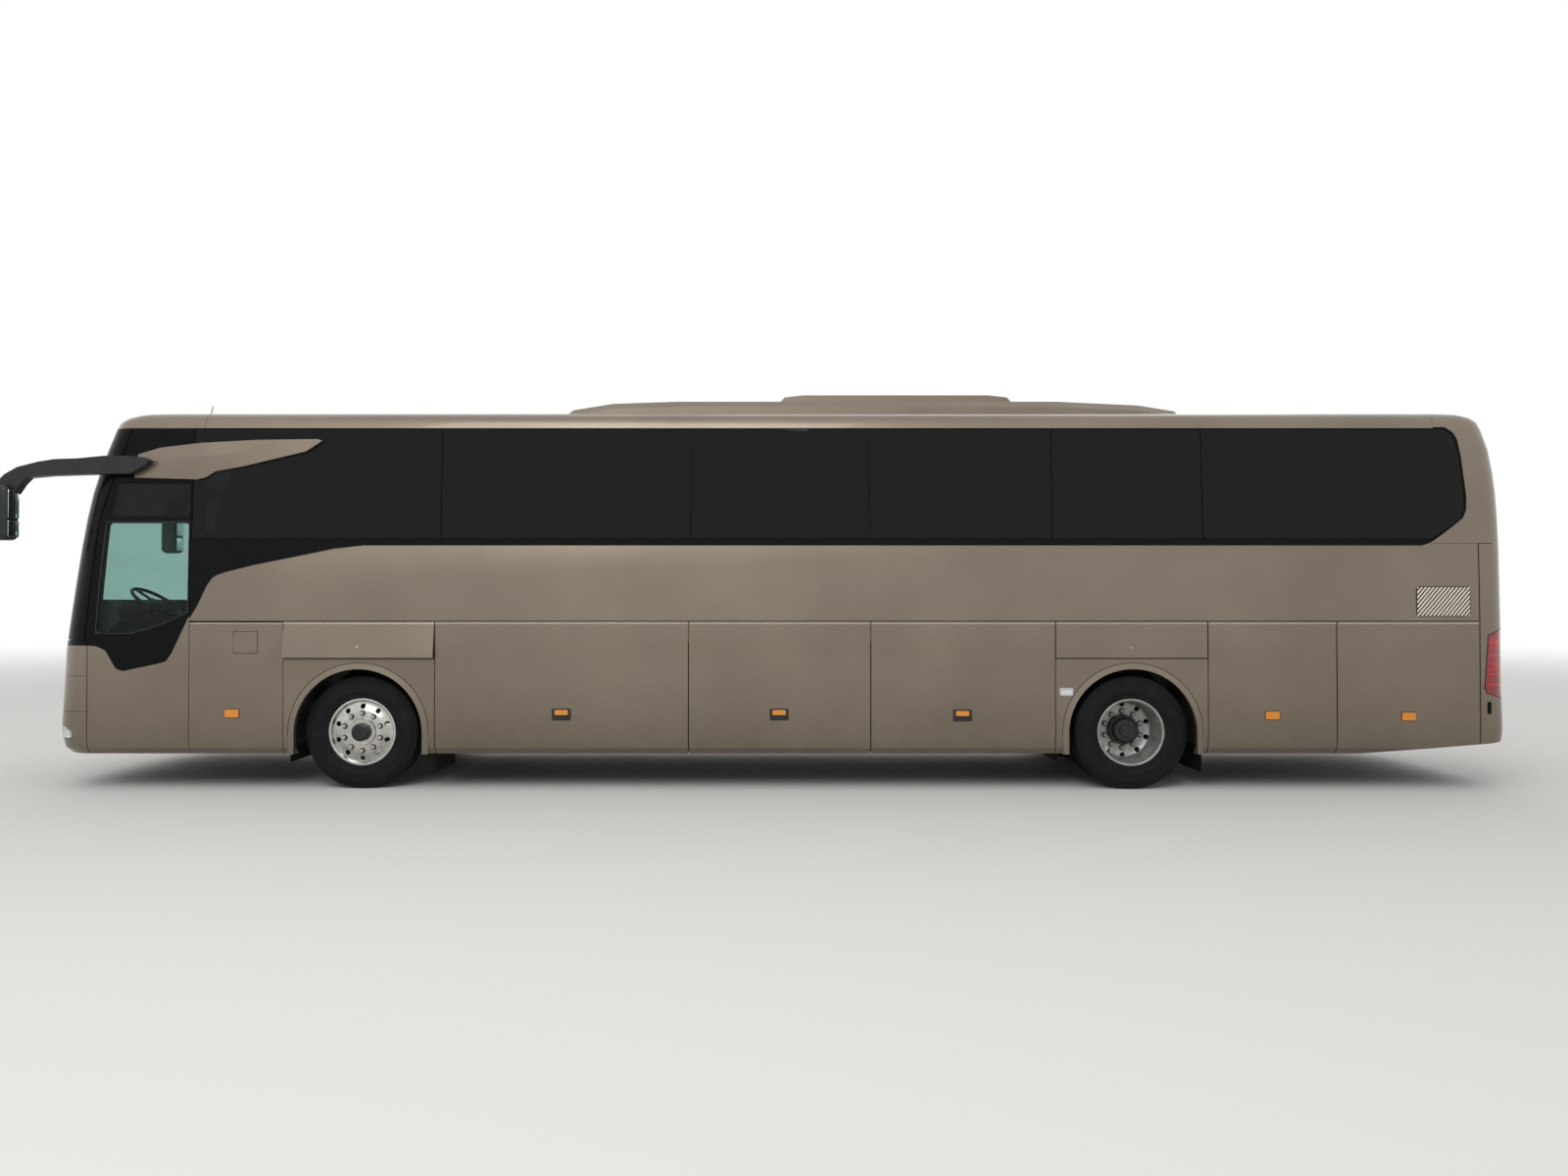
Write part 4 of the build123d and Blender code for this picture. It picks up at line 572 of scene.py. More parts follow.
mesh = bmesh.new()
bmesh.ops.create_circle(mesh, segments=12, radius=GRIP_R)
bmesh.ops.rotate(mesh, verts=mesh.verts, cent=(0, 0, 0), matrix=Matrix.Rotation(math.pi / 2, 3, "X"))
bmesh.ops.translate(mesh, verts=mesh.verts, vec=(STEERING_R, 0, GRIP_Z))
bmesh.ops.spin(
    mesh,
    geom=mesh.verts[:] + mesh.edges[:],
    cent=(0, 0, 0),
    axis=(0, 0, 1),
    angle=math.tau,
    steps=48,
    use_merge=True,
)
for spoke_deg in (0, 180, 270):
    bar = Matrix.Rotation(math.radians(spoke_deg), 4, "Z") @ Matrix.Translation((0.13, 0, 0.006))
    bmesh.ops.create_cube(mesh, size=1.0, matrix=bar @ Matrix.Diagonal((*SPOKE, 1)))
add_cone(mesh, Matrix.Translation((0, 0, 0.004)), (0.075, 0.062), 0.03, 32)
add_cone(mesh, Matrix.Translation((0, 0, -0.08)), (0.034, 0.028), 0.15, 24)
tilt = Matrix.Rotation(STEERING_TILT, 4, "Y") @ Matrix.Rotation(-math.pi / 2, 4, "Z")
bmesh.ops.transform(mesh, matrix=Matrix.Translation(STEERING_CENTRE) @ tilt, verts=mesh.verts)
bmesh.ops.recalc_face_normals(mesh, faces=mesh.faces)
make_piece(mesh, "steering_wheel_rim", (black_plastic,), "coach", ("steering_wheel",), 0.003)

# Tyres: 295/80 R22.5 steel-belted tyres with ribbed treads, notched shoulders and a flex rib that
# runs round each sidewall, vulcanised in a mould and seated on the rims' beads
TYRE_HALF = 0.1475
BEAD_R = 0.286
BEAD_HALF = 0.110
TREAD_HALF = 0.118
GROOVES = (-0.072, -0.026, 0.026, 0.072)
GROOVE_HALF = 0.005
GROOVE_DEPTH = 0.013
GROOVE_DRAFT = 0.002
CROWN_DROP = 0.004
TYRE_STEPS = 120
NOTCH_EVERY = 3
NOTCH_DEPTH = 0.007
FRONT_WHEEL_Y = 1.057
REAR_OUTER_Y = 1.098
REAR_INNER_Y = 0.764
REAR_MID_Y = 0.931
# Rubber filled with soot: dull, almost black, and greyer where dust has settled
tyre_rubber = finish(
    "carbon_black_tyre_rubber",
    {"Roughness": 0.78, "Specular IOR Level": 0.2},
    dict(kind="ShaderNodeTexNoise", values={"Scale": 5.0, "Detail": 4.0, "Roughness": 0.6}),
    ((0.35, "#0e0f11"), (0.7, "#1a1b1d")),
    relief=dict(kind="ShaderNodeTexNoise", values={"Scale": 70.0, "Detail": 6.0, "Roughness": 0.7}),
    bump=(0.25, 0.001),
)


def spin_section(mesh, section, axle_x, side, steps):
    """Turn a closed section of radius and distance from the centre line about an axle."""
    points = [mesh.verts.new((axle_x + radius, side * across, TYRE_R)) for radius, across in section]
    edges = [mesh.edges.new(pair) for pair in zip(points, points[1:] + points[:1])]
    bmesh.ops.spin(
        mesh,
        geom=points + edges,
        cent=(axle_x, 0, TYRE_R),
        axis=(0, 1, 0),
        angle=math.tau,
        steps=steps,
        use_merge=True,
    )
    bmesh.ops.remove_doubles(mesh, verts=mesh.verts, dist=0.00002)


def tyre_section(centre_y):
    """Section of one tyre, from its inner bead over the tread to its outer bead."""
    half = [
        (BEAD_R, -BEAD_HALF),
        (BEAD_R + 0.016, -BEAD_HALF - 0.004),
        (BEAD_R + 0.034, -BEAD_HALF - 0.018),
        (BEAD_R + 0.040, -BEAD_HALF - 0.017),
        (BEAD_R + 0.075, -TYRE_HALF + 0.004),
        (BEAD_R + 0.082, -TYRE_HALF + 0.0005),
        (BEAD_R + 0.090, -TYRE_HALF + 0.0035),
        (TYRE_R - 0.085, -TYRE_HALF + 0.001),
        (TYRE_R - 0.062, -TYRE_HALF + 0.003),
        (TYRE_R - 0.056, -TYRE_HALF + 0.0085),
        (TYRE_R - 0.022, -TREAD_HALF - 0.012),
        (TYRE_R - 0.006, -TREAD_HALF),
    ]
    tread = []
    for groove in GROOVES:
        crown = CROWN_DROP * (groove / TREAD_HALF) ** 2
        tread += [
            (TYRE_R - crown, groove - GROOVE_HALF),
            (TYRE_R - GROOVE_DEPTH, groove - GROOVE_HALF + GROOVE_DRAFT),
            (TYRE_R - GROOVE_DEPTH, groove + GROOVE_HALF - GROOVE_DRAFT),
            (TYRE_R - crown, groove + GROOVE_HALF),
        ]
    outer = [(radius, -across) for radius, across in reversed(half)]
    return [(radius, centre_y + across) for radius, across in half + tread + outer]


def join(mesh, own, matrix=Matrix()):
    """Add a copy of a shape to a mesh, at a place."""
    data = bpy.data.meshes.new("shape")
    own.to_mesh(data)
    data.transform(matrix)
    mesh.from_mesh(data)
    bpy.data.meshes.remove(data)


def add_tyre(mesh, axle_x, centre_y, side):
    """One tyre with notches cut into both shoulders of its tread."""
    own = bmesh.new()
    spin_section(own, tyre_section(centre_y), axle_x, side, TYRE_STEPS)
    bmesh.ops.recalc_face_normals(own, faces=own.faces)
    notched = []
    for face in own.faces:
        centre = face.calc_center_median()
        radius = math.hypot(centre.x - axle_x, centre.z - TYRE_R)
        turn = math.atan2(centre.z - TYRE_R, centre.x - axle_x) / math.tau * TYRE_STEPS
        on_shoulder = TYRE_R - 0.03 < radius < TYRE_R - 0.003 and abs(abs(centre.y) - centre_y) > 0.115
        if on_shoulder and round(turn - 0.5) % NOTCH_EVERY == 0:
            notched.append(face)
    sunk = bmesh.ops.extrude_discrete_faces(own, faces=notched)
    for face in sunk["faces"]:
        for vert in face.verts:
            away = Vector((vert.co.x - axle_x, 0, vert.co.z - TYRE_R))
            vert.co -= away.normalized() * NOTCH_DEPTH
    join(mesh, own)
    own.free()


for side, hand in HANDS.items():
    for node, body, axle_x, centres in (
        (f"front_tyre_{hand}", f"front_wheel_{hand}", FRONT_AXLE_X, (FRONT_WHEEL_Y,)),
        (f"rear_tyres_{hand}", f"rear_wheel_{hand}", REAR_AXLE_X, (REAR_OUTER_Y, REAR_INNER_Y)),
    ):
        mesh = bmesh.new()
        for centre_y in centres:
            add_tyre(mesh, axle_x, centre_y, side)
        make_piece(mesh, f"{node}_rubber", (tyre_rubber,), body, (node,))

# Wheels: forged and polished aluminium in front, silver-painted steel discs in pairs behind, each with
# ten hand holes and ten capped nuts, and a black hub cap or the dark end of the axle in the middle
RIM_LIP_R = 0.299
BARREL_R = 0.270
RIM_STEPS = 96
HAND_HOLE_COUNT = 10
HAND_HOLE_CIRCLE_R = 0.229
HAND_HOLE_R = 0.0235
INNER_DISC_SPAN = (0.87, 0.925)
NUT_COUNT = 10
NUT_CIRCLE_R = 0.1675
NUT_R = 0.0195
# Polishing leaves fine rings, drawn at 2 mm, and brake dust dulls patches of it
polished_aluminium = finish(
    "polished_forged_aluminium",
    {"Metallic": 1.0},
    dict(kind="ShaderNodeTexNoise", values={"Scale": 14.0, "Detail": 6.0, "Roughness": 0.6}),
    ((0.35, "#c9c8c4"), (0.8, "#a6a39c")),
    gloss={"From Min": 0.3, "From Max": 0.75, "To Min": 0.1, "To Max": 0.3},
    relief=dict(kind="ShaderNodeTexNoise", values={"Scale": 500.0, "Detail": 1.0}),
    bump=(0.05, 0.0005),
)
# Silver paint is greyer than the aluminium and softer in its shine, with grime in patches
silver_paint = finish(
    "silver_painted_steel",
    {"Metallic": 0.6, "Roughness": 0.38},
    dict(kind="ShaderNodeTexNoise", values={"Scale": 16.0, "Detail": 8.0, "Roughness": 0.65}),
    ((0.3, "#a9aba9"), (0.72, "#84837c")),
)
# Black paint over rough castings, browned by rust and road dirt
hub_black = finish(
    "black_painted_iron",
    {"Metallic": 0.2, "Roughness": 0.55},
    dict(kind="ShaderNodeTexNoise", values={"Scale": 22.0, "Detail": 8.0, "Roughness": 0.7}),
    ((0.35, "#1c1c1e"), (0.75, "#35322f")),
    bump=(0.3, 0.001),
)
# Sections of the discs and barrels: radius and distance from the centre line
FRONT_RIM = (
    (0.2855, 0.945), (RIM_LIP_R, 0.945), (RIM_LIP_R, 0.936), (0.292, 0.935), (0.276, 0.938),
    (BARREL_R, 0.946), (BARREL_R, 1.120), (0.262, 1.128), (0.245, 1.134), (0.205, 1.150), (0.197, 1.152),
    (0.150, 1.152), (0.110, 1.062), (0.060, 1.062), (0.060, 1.188), (0.118, 1.188), (0.120, 1.185),
    (0.124, 1.172), (0.190, 1.172), (0.194, 1.171), (0.209, 1.164), (0.240, 1.152), (0.258, 1.147),
    (0.267, 1.147), (0.272, 1.152), (0.276, 1.168), (0.281, 1.175), (0.292, 1.178), (RIM_LIP_R, 1.176),
    (RIM_LIP_R, 1.169), (0.2855, 1.169),
)
REAR_RIM = (
    (0.2855, 1.000), (0.274, 1.000), (BARREL_R, 1.004), (BARREL_R, 0.984), (0.262, 0.962), (0.244, 0.950),
    (0.205, 0.942), (0.100, 0.942), (0.100, 0.954), (0.198, 0.954), (0.208, 0.954), (0.240, 0.963),
    (0.254, 0.974), (0.262, 0.992), (0.264, 1.014), (0.268, 1.030), (0.268, 1.170), (0.272, 1.196),
    (0.277, 1.206), (0.281, 1.215), (0.292, 1.219), (RIM_LIP_R, 1.217), (RIM_LIP_R, 1.210),
    (0.2855, 1.210),
)


def add_drum(mesh, x, z, side, span, radii, segments):
    """A capped drum or cone that points outwards between two distances from the centre line."""
    turned = Matrix.Translation((x, side * sum(span) / 2, z)) @ Matrix.Rotation(-side * math.pi / 2, 4, "X")
    add_cone(mesh, turned, radii, span[1] - span[0], segments)


def around(mesh, axle_x, side, circle_r, count, span, radii, segments):
    """A ring of drums or cones about an axle."""
    for number in range(count):
        turn = math.tau * (number + 0.5) / count
        x = axle_x + circle_r * math.cos(turn)
        add_drum(mesh, x, TYRE_R + circle_r * math.sin(turn), side, span, radii, segments)


def carve(piece, cutter_mesh):
    """Cut a mesh away from a piece and keep the result."""
    data = bpy.data.meshes.new("cutter")
    cutter_mesh.to_mesh(data)
    cutter_mesh.free()
    cutter = bpy.data.objects.new("cutter", data)
    collection.objects.link(cutter)
    cut = piece.modifiers.new("cut", "BOOLEAN")
    cut.operation = "DIFFERENCE"
    cut.solver = "EXACT"
    cut.object = cutter
    bpy.context.view_layer.update()
    cut_piece = piece.evaluated_get(bpy.context.evaluated_depsgraph_get())
    carved = bpy.data.meshes.new_from_object(cut_piece)
    piece.modifiers.clear()
    piece.data = carved
    bpy.data.objects.remove(cutter)


for side, hand in HANDS.items():
    for end, axle_x, section, hole_spans, nut_y, metal, node, slot in (
        ("front", FRONT_AXLE_X, FRONT_RIM, ((1.10, 1.19),), 1.172, polished_aluminium,
         f"front_rim_{hand}", "polished_alloy"),
        ("rear", REAR_AXLE_X, REAR_RIM, ((0.92, 0.99), INNER_DISC_SPAN), 0.954, silver_paint,
         f"rear_rims_{hand}", "silver_steel"),
    ):
        body = f"{end}_wheel_{hand}"
        mesh = bmesh.new()
        spin_section(mesh, section, axle_x, side, RIM_STEPS)
        if end == "rear":
            inner = [(radius, 2 * REAR_MID_Y - across) for radius, across in section]
            spin_section(mesh, inner, axle_x, side, RIM_STEPS)
        bmesh.ops.recalc_face_normals(mesh, faces=mesh.faces)
        disc = make_piece(mesh, f"{end}_disc_{hand}", (metal,), body, (node,))
        cutter = bmesh.new()
        for span in hole_spans:
            radii = (HAND_HOLE_R, HAND_HOLE_R)
            around(cutter, axle_x, side, HAND_HOLE_CIRCLE_R, HAND_HOLE_COUNT, span, radii, 28)
        carve(disc, cutter)
        # Each nut is a hexagon under a tapered cap, on a black ring that is painted shadow round its foot
        ring = (axle_x, side, NUT_CIRCLE_R, NUT_COUNT)
        mesh = bmesh.new()
        around(mesh, *ring, (nut_y + 0.003, nut_y + 0.020), (NUT_R, NUT_R), 6)
        around(mesh, *ring, (nut_y + 0.019, nut_y + 0.030), (0.0155, 0.011), 20)
        make_piece(mesh, f"{end}_nuts_{hand}", (metal,), body, hem=0.0012)
        # Painted shadow: a dark ring round the foot of each nut
        mesh = bmesh.new()
        around(mesh, *ring, (nut_y - 0.002, nut_y + 0.004), (0.0275, 0.0255), 24)
        make_piece(mesh, f"{end}_nut_shadow_rings_{hand}", (hub_black,), body, hem=0.001)
        mesh = bmesh.new()
        if end == "front":
            add_drum(mesh, axle_x, TYRE_R, side, (1.175, 1.228), (0.080, 0.079), 48)
            add_drum(mesh, axle_x, TYRE_R, side, (1.228, 1.240), (0.079, 0.060), 48)
            make_piece(mesh, f"front_hub_cap_{hand}", (black_plastic,), body, hem=0.003)
        else:
            add_drum(mesh, axle_x, TYRE_R, side, (0.78, 1.010), (0.142, 0.136), 48)
            add_drum(mesh, axle_x, TYRE_R, side, (1.010, 1.060), (0.112, 0.098), 40)
            add_drum(mesh, axle_x, TYRE_R, side, (1.055, 1.074), (0.056, 0.050), 32)
            around(mesh, axle_x, side, 0.122, 10, (1.008, 1.022), (0.011, 0.011), 6)
            around(mesh, axle_x, side, 0.076, 8, (1.055, 1.066), (0.009, 0.009), 6)
            make_piece(mesh, f"rear_hub_{hand}", (hub_black,), body, hem=0.002)

# Marker lamps and flap handles along both sides: amber acrylic lenses in moulded black bezels, screwed on,
# and handles that hold such a lamp over a finger grip
# Amber acrylic, clear and deep in colour, with upright flutes moulded 6 mm apart that glint
amber_acrylic = finish(
    "amber_acrylic_lens",
    {"Base Color": linear("#e08a1c"), "Roughness": 0.12, "Coat Weight": 0.5},
    relief=dict(kind="ShaderNodeTexWave", values={"Scale": 52.0}, bands_direction="X"),
    bump=(0.35, 0.001),
)
BODY_Y = 1.275
# Plates of a lamp in its bezel and of a handle: how proud each stands, its height over the fitting's,
# its size and the radius of its corners
BEZEL = ((0.0015, 0.0, (0.134, 0.004, 0.080), 0.012),)
BEZEL_LENS = ((0.004, 0.0, (0.124, 0.007, 0.070), 0.010),)
HANDLE = ((0.002, 0.0, (0.168, 0.005, 0.104), 0.012), (0.005, -0.030, (0.120, 0.005, 0.026), 0.006))
HANDLE_LENS = ((0.005, 0.018, (0.118, 0.006, 0.044), 0.008),)


def rounded_box(centre, size, axis, radius, segments):
    """A block whose corners about one axis are rounded."""
    own = bmesh.new()
    add_box(own, centre, size)
    corners = [e for e in own.edges if abs((e.verts[0].co - e.verts[1].co).normalized()[axis]) > 0.9]
    round_edges(own, corners, radius, segments)
    return own


def side_plates(mesh, x, z, side, plates, segments=4):
    """Rounded plates on a side wall, each as its proudness, height over z, size and corner radius."""
    for proud, up, size, radius in plates:
        own = rounded_box((x, side * (BODY_Y + proud), z + up), size, 1, radius, segments)
        join(mesh, own)
        own.free()


def side_fitting(name, material, body, slot, hem, x, z, side, plates, segments=4):
    """A piece made of rounded plates on a side wall."""
    mesh = bmesh.new()
    side_plates(mesh, x, z, side, plates, segments)
    make_piece(mesh, name, (material,), body, hem=hem)


# Each row: name, station, height, side, body, and whether a handle holds the lamp
MARKERS = []
for side, hand in HANDS.items():
    MARKERS += [
        (f"cab_marker_{hand}", -4.648, 0.680, side, "coach", False),
        (f"bay_1_handle_{hand}", -1.725, 0.671, side, f"bay_flap_1_{hand}", True),
        (f"bay_2_handle_{hand}", 0.207, 0.671, side, f"bay_flap_2_{hand}", True),
        (f"engine_1_marker_{hand}", 4.583, 0.662, side, f"engine_flap_1_{hand}", False),
        (f"engine_2_marker_{hand}", 5.792, 0.653, side, f"engine_flap_2_{hand}", False),
    ]
MARKERS.append(("bay_3_handle_left", 1.833, 0.662, -1, "bay_flap_3_left", True))
for name, x, z, side, body, held in MARKERS:
    if held:
        side_fitting(f"{name}_plate", black_plastic, body, "black_trim", 0.0015, x, z, side, HANDLE)
        side_fitting(f"{name}_lens", amber_acrylic, body, "red_lens", 0.0015, x, z, side, HANDLE_LENS)
    else:
        side_fitting(f"{name}_bezel", black_plastic, body, "black_trim", 0.001, x, z, side, BEZEL)
        side_fitting(f"{name}_lens", amber_acrylic, body, "red_lens", 0.002, x, z, side, BEZEL_LENS)

# White lamp ahead of each rear wheel, for backing: a clear acrylic lens in a chromed plastic surround,
# clipped into the skirt
white_acrylic = finish(
    "clear_acrylic_lens", {"Base Color": linear("#d9dcdd"), "Roughness": 0.1, "Coat Weight": 0.4}
)
# Chrome plating on smooth plastic mirrors almost sharply
chrome = finish("chromed_plastic", {"Base Color": linear("#c8cacc"), "Metallic": 1.0, "Roughness": 0.08})
LAMP_X = 2.756
LAMP_Z = 0.871
LAMP_FRAME = ((0.002, 0.0, (0.122, 0.005, 0.072), 0.016),)
LAMP_LENS = ((0.004, -0.003, (0.096, 0.006, 0.036), 0.010),)
for side, hand in HANDS.items():
    at = (LAMP_X, LAMP_Z, side)
    side_fitting(f"manoeuvre_lamp_frame_{hand}", chrome, "coach", "lamp_glass", 0.0015, *at, LAMP_FRAME)
    side_fitting(f"manoeuvre_lamp_{hand}", white_acrylic, "coach", "lamp_glass", 0.0015, *at, LAMP_LENS)

# Locks of the flaps over the wheels: a turned steel barrel in a collar, pressed into the flap's skin and
# hanging with it where the flap stands ajar
AJAR = math.radians(8)
LOCK_BARRELS = ((0.016, -0.002, 0.003), (0.011, 0.002, 0.006))
LOCK_TAPER = 0.92
for node, x, z, side, turn in (
    ("front_arch_flap_left", -3.526, 1.271, -1, AJAR),
    ("front_arch_flap_right", -3.526, 1.271, 1, 0.0),
    ("rear_arch_flap_left", 3.330, 1.262, -1, 0.0),
    ("rear_arch_flap_right", 3.330, 1.262, 1, 0.0),
):
    mesh = bmesh.new()
    for radius, foot, head in LOCK_BARRELS:
        span = (BODY_Y + foot, BODY_Y + head)
        add_drum(mesh, x, z, side, span, (radius, radius * LOCK_TAPER), 24)
    swing = Matrix.Rotation(-turn, 3, "X")
    bmesh.ops.rotate(mesh, verts=mesh.verts, cent=(0, side * BODY_Y, BELT_SEAM_Z), matrix=swing)
    make_piece(mesh, f"{node}_lock", (silver_paint,), node, hem=0.0008)

# Air intake behind the last side window: enamelled slats, pressed from sheet and riveted in, that slant over
# a black plate. The plate shows as a thin frame round them, and within it is painted shade for the dark
# hollow of the opening
# Stove enamel on sheet metal: pale and even, with a soft shine
pale_enamel = finish(
    "pale_enamelled_metal",
    {"Roughness": 0.35},
    dict(kind="ShaderNodeTexNoise", values={"Scale": 18.0, "Detail": 6.0, "Roughness": 0.6}),
    ((0.3, "#eee3d5"), (0.75, "#ddcfbd")),
)
GRILLE_X = (5.872, 6.338)
GRILLE_Z = (1.545, 1.800)
GRILLE_FRAME = 0.007
SLAT_COUNT = 20
SLAT_OVERRUN = 0.10
SLAT = (0.014, 0.006, 0.44)
SLAT_SLANT = Matrix.Rotation(math.radians(40), 4, "Y")
grille_x = sum(GRILLE_X) / 2
grille_z = sum(GRILLE_Z) / 2
width = GRILLE_X[1] - GRILLE_X[0]
tall = GRILLE_Z[1] - GRILLE_Z[0]
opening = ((-0.001, 0.0, (width + 2 * GRILLE_FRAME, 0.006, tall + 2 * GRILLE_FRAME), 0.034),)
for side, hand in HANDS.items():
    at = (grille_x, grille_z, side)
    # Black plate: a thin frame round the slats, and painted shade of the opening's hollow inside it
    side_fitting(f"intake_frame_and_painted_shade_{hand}", black_plastic, "coach", "black_trim", 0.001, *at, opening, 6)
    mesh = bmesh.new()
    for number in range(SLAT_COUNT):
        x = GRILLE_X[0] - SLAT_OVERRUN + number * (width + 2 * SLAT_OVERRUN) / (SLAT_COUNT - 1)
        add_box(mesh, (x, side * (BODY_Y + 0.003), grille_z), SLAT, SLAT_SLANT)
    bmesh.ops.recalc_face_normals(mesh, faces=mesh.faces)
    for plane_co, plane_no in (
        ((GRILLE_X[0], 0, 0), (-1, 0, 0)),
        ((GRILLE_X[1], 0, 0), (1, 0, 0)),
        ((0, 0, GRILLE_Z[0]), (0, 0, -1)),
        ((0, 0, GRILLE_Z[1]), (0, 0, 1)),
    ):
        cut = bmesh.ops.bisect_plane(
            mesh,
            geom=mesh.verts[:] + mesh.edges[:] + mesh.faces[:],
            plane_co=plane_co,
            plane_no=plane_no,
            clear_outer=True,
        )
        rims = [item for item in cut["geom_cut"] if isinstance(item, bmesh.types.BMEdge)]
        bmesh.ops.holes_fill(mesh, edges=rims, sides=0)
    bmesh.ops.recalc_face_normals(mesh, faces=mesh.faces)
    make_piece(mesh, f"intake_slats_{hand}", (pale_enamel,), "coach", hem=0.0012)

# Running gear, structure and floors: welded and cast steel and iron in black paint, and vinyl sheet glued
# over plywood. All keep their CAD shapes.
# Vinyl sheet flecked with grey, dull and even
vinyl = finish(
    "studded_floor_vinyl",
    {"Roughness": 0.6},
    dict(kind="ShaderNodeTexNoise", values={"Scale": 140.0, "Detail": 2.0}),
    ((0.4, "#3a3b3e"), (0.65, "#55565a")),
)
for node in (
    "skirt_posts", "underframe", "wheel_housings", "front_door_arm", "mid_door_arm", "front_axle",
    "rear_axle", "knuckle_left", "knuckle_right", "engine",
):
    finish_cad(node, hub_black)
for node in ("cab_floor", "saloon_floor"):
    finish_cad(node, vinyl)

# Tail lamps: a red acrylic cover over each rear corner, moulded with a stack of steps, over rows of
# diodes that show as brighter bars
# Red acrylic, deep and glossy, with prism ribs 9 mm apart that glint
red_acrylic = finish(
    "red_acrylic_lens",
    {"Roughness": 0.1, "Coat Weight": 0.6},
    dict(kind="ShaderNodeTexNoise", values={"Scale": 9.0, "Detail": 2.0}),
    ((0.3, "#7d0f12"), (0.7, "#a81a1a")),
    relief=dict(kind="ShaderNodeTexWave", values={"Scale": 35.0}, bands_direction="Z"),
    bump=(0.25, 0.001),
)
bright_acrylic = finish(
    "bright_red_acrylic_bar", {"Base Color": linear("#d8262a"), "Roughness": 0.15, "Coat Weight": 0.6}
)
TAIL_LENS = (
    (6.497, 0.857), (6.474, 0.911), (6.508, 1.370), (6.676, 1.437), (6.85, 1.437), (6.85, 0.811),
    (6.676, 0.811),
)
DIODE_ROWS_Z = (1.311, 1.193, 1.115, 1.075, 1.027, 0.935)
DIODE_HALF = 0.004
DIODES_FROM_X = 6.52
LENS_SIDE_Y = 1.13
mesh = panel_mesh("tail_lamps")
for face in mesh.faces:
    face.material_index = 2
mask_off(mesh, TAIL_LENS, 0)
for row_z in DIODE_ROWS_Z:
    for edge_z in (row_z - DIODE_HALF, row_z + DIODE_HALF):
        cut_along(mesh, (0, 0, edge_z), (0, 0, 1))
for across in (-LENS_SIDE_Y, LENS_SIDE_Y):
    cut_along(mesh, (0, across, 0), (0, 1, 0))
for face in mesh.faces:
    centre = face.calc_center_median()
    barred = any(abs(centre.z - row_z) < DIODE_HALF for row_z in DIODE_ROWS_Z)
    if face.material_index == 0 and barred and centre.x > DIODES_FROM_X:
        face.material_index = 1
finishes = (red_acrylic, bright_acrylic, black_plastic)
make_piece(mesh, "tail_lamp_covers", finishes, "coach", ("tail_lamps",))

# Headlamps: a clear polycarbonate cover over each front corner, with chromed projectors on a dark carrier
# inside it, fixed from behind
clear_cover = finish(
    "clear_polycarbonate",
    {"Base Color": linear("#e8edef"), "Roughness": 0.03, "IOR": 1.45, "Transmission Weight": 0.92},
)
# Skin of the body's ends: how far the nose and the tail lean in at each height
END_RAKES = (
    (0.318, 0.062, 0.044), (0.370, 0.027, 0.018), (0.470, 0.006, 0.006), (0.561, 0.0, 0.0),
    (0.913, 0.021, 0.012), (1.239, 0.035, 0.013), (1.489, 0.068, 0.013), (1.812, 0.112, 0.015),
    (2.174, 0.162, 0.016), (2.420, 0.200, 0.020), (2.641, 0.243, 0.028), (2.817, 0.291, 0.043),
    (3.040, 0.364, 0.077), (3.225, 0.433, 0.138),
)
# Station of the nose and of the tail at the centre line, and how far each curves back at a distance out
NOSE = (-6.371, 0.085, 0.985)
TAIL = (6.774, -0.055, 1.065)
# Each projector: distance from the centre line, height, radius, and how far it stands back from the skin
PROJECTORS = ((0.78, 0.512, 0.052, 0.012), (0.91, 0.515, 0.052, 0.012), (1.02, 0.518, 0.040, 0.035))


def end_x(end, y, z):
    """Station of the outer skin of the nose, -1, or the tail, 1, near the centre line."""
    column = 1 if end < 0 else 2
    for low, high in zip(END_RAKES, END_RAKES[1:]):
        if z <= high[0]:
            break
    share = (z - low[0]) / (high[0] - low[0])
    rake = low[column] + share * (high[column] - low[column])
    middle_x, curve, curve_y = NOSE if end < 0 else TAIL
    return middle_x - end * rake + curve * (y / curve_y) ** 2


def along(start, stop):
    """Place and turn of a straight piece between two points, and its length."""
    run = Vector(stop) - Vector(start)
    turn = run.to_track_quat("Z", "Y").to_matrix().to_4x4()
    return Matrix.Translation((Vector(start) + Vector(stop)) / 2) @ turn, run.length


def rod(mesh, start, stop, radius, segments=16):
    """A round bar between two points."""
    matrix, length = along(start, stop)
    add_cone(mesh, matrix, (radius, radius), length, segments)


finish_cad("headlamps", clear_cover)
bowls = bmesh.new()
projectors = bmesh.new()
for side in HANDS:
    for y, z, radius, back in PROJECTORS:
        front = end_x(-1, y, z) + back
        rod(bowls, (front + 0.03, side * y, z), (front, side * y, z), radius, 32)
        rod(projectors, (front + 0.004, side * y, z), (front - 0.003, side * y, z), radius * 0.8, 32)
make_piece(bowls, "headlamp_bowls", (chrome,), "coach", hem=0.003)
make_piece(projectors, "headlamp_projectors", (tinted_glass,), "coach", hem=0.004)

# Front fittings: a bumper intake with its slats and a blank number plate in its holder, moulded and
# screwed on, and two wipers on pivots under the windscreen
# Reflective sheet on a number plate, left blank
number_blank = finish("blank_reflective_sheet", {"Base Color": linear("#c9cbc8"), "Roughness": 0.35})
INTAKE_SLATS_Z = (0.402, 0.435, 0.468, 0.501)
WIPER_PIVOT_Z = 1.300
WIPER_KNEE = (0.34, 1.395)
BLADE_Z = 1.372
BLADE_RISE = 0.06
BLADE_STEP = 0.09
BLADE_STEPS = 8


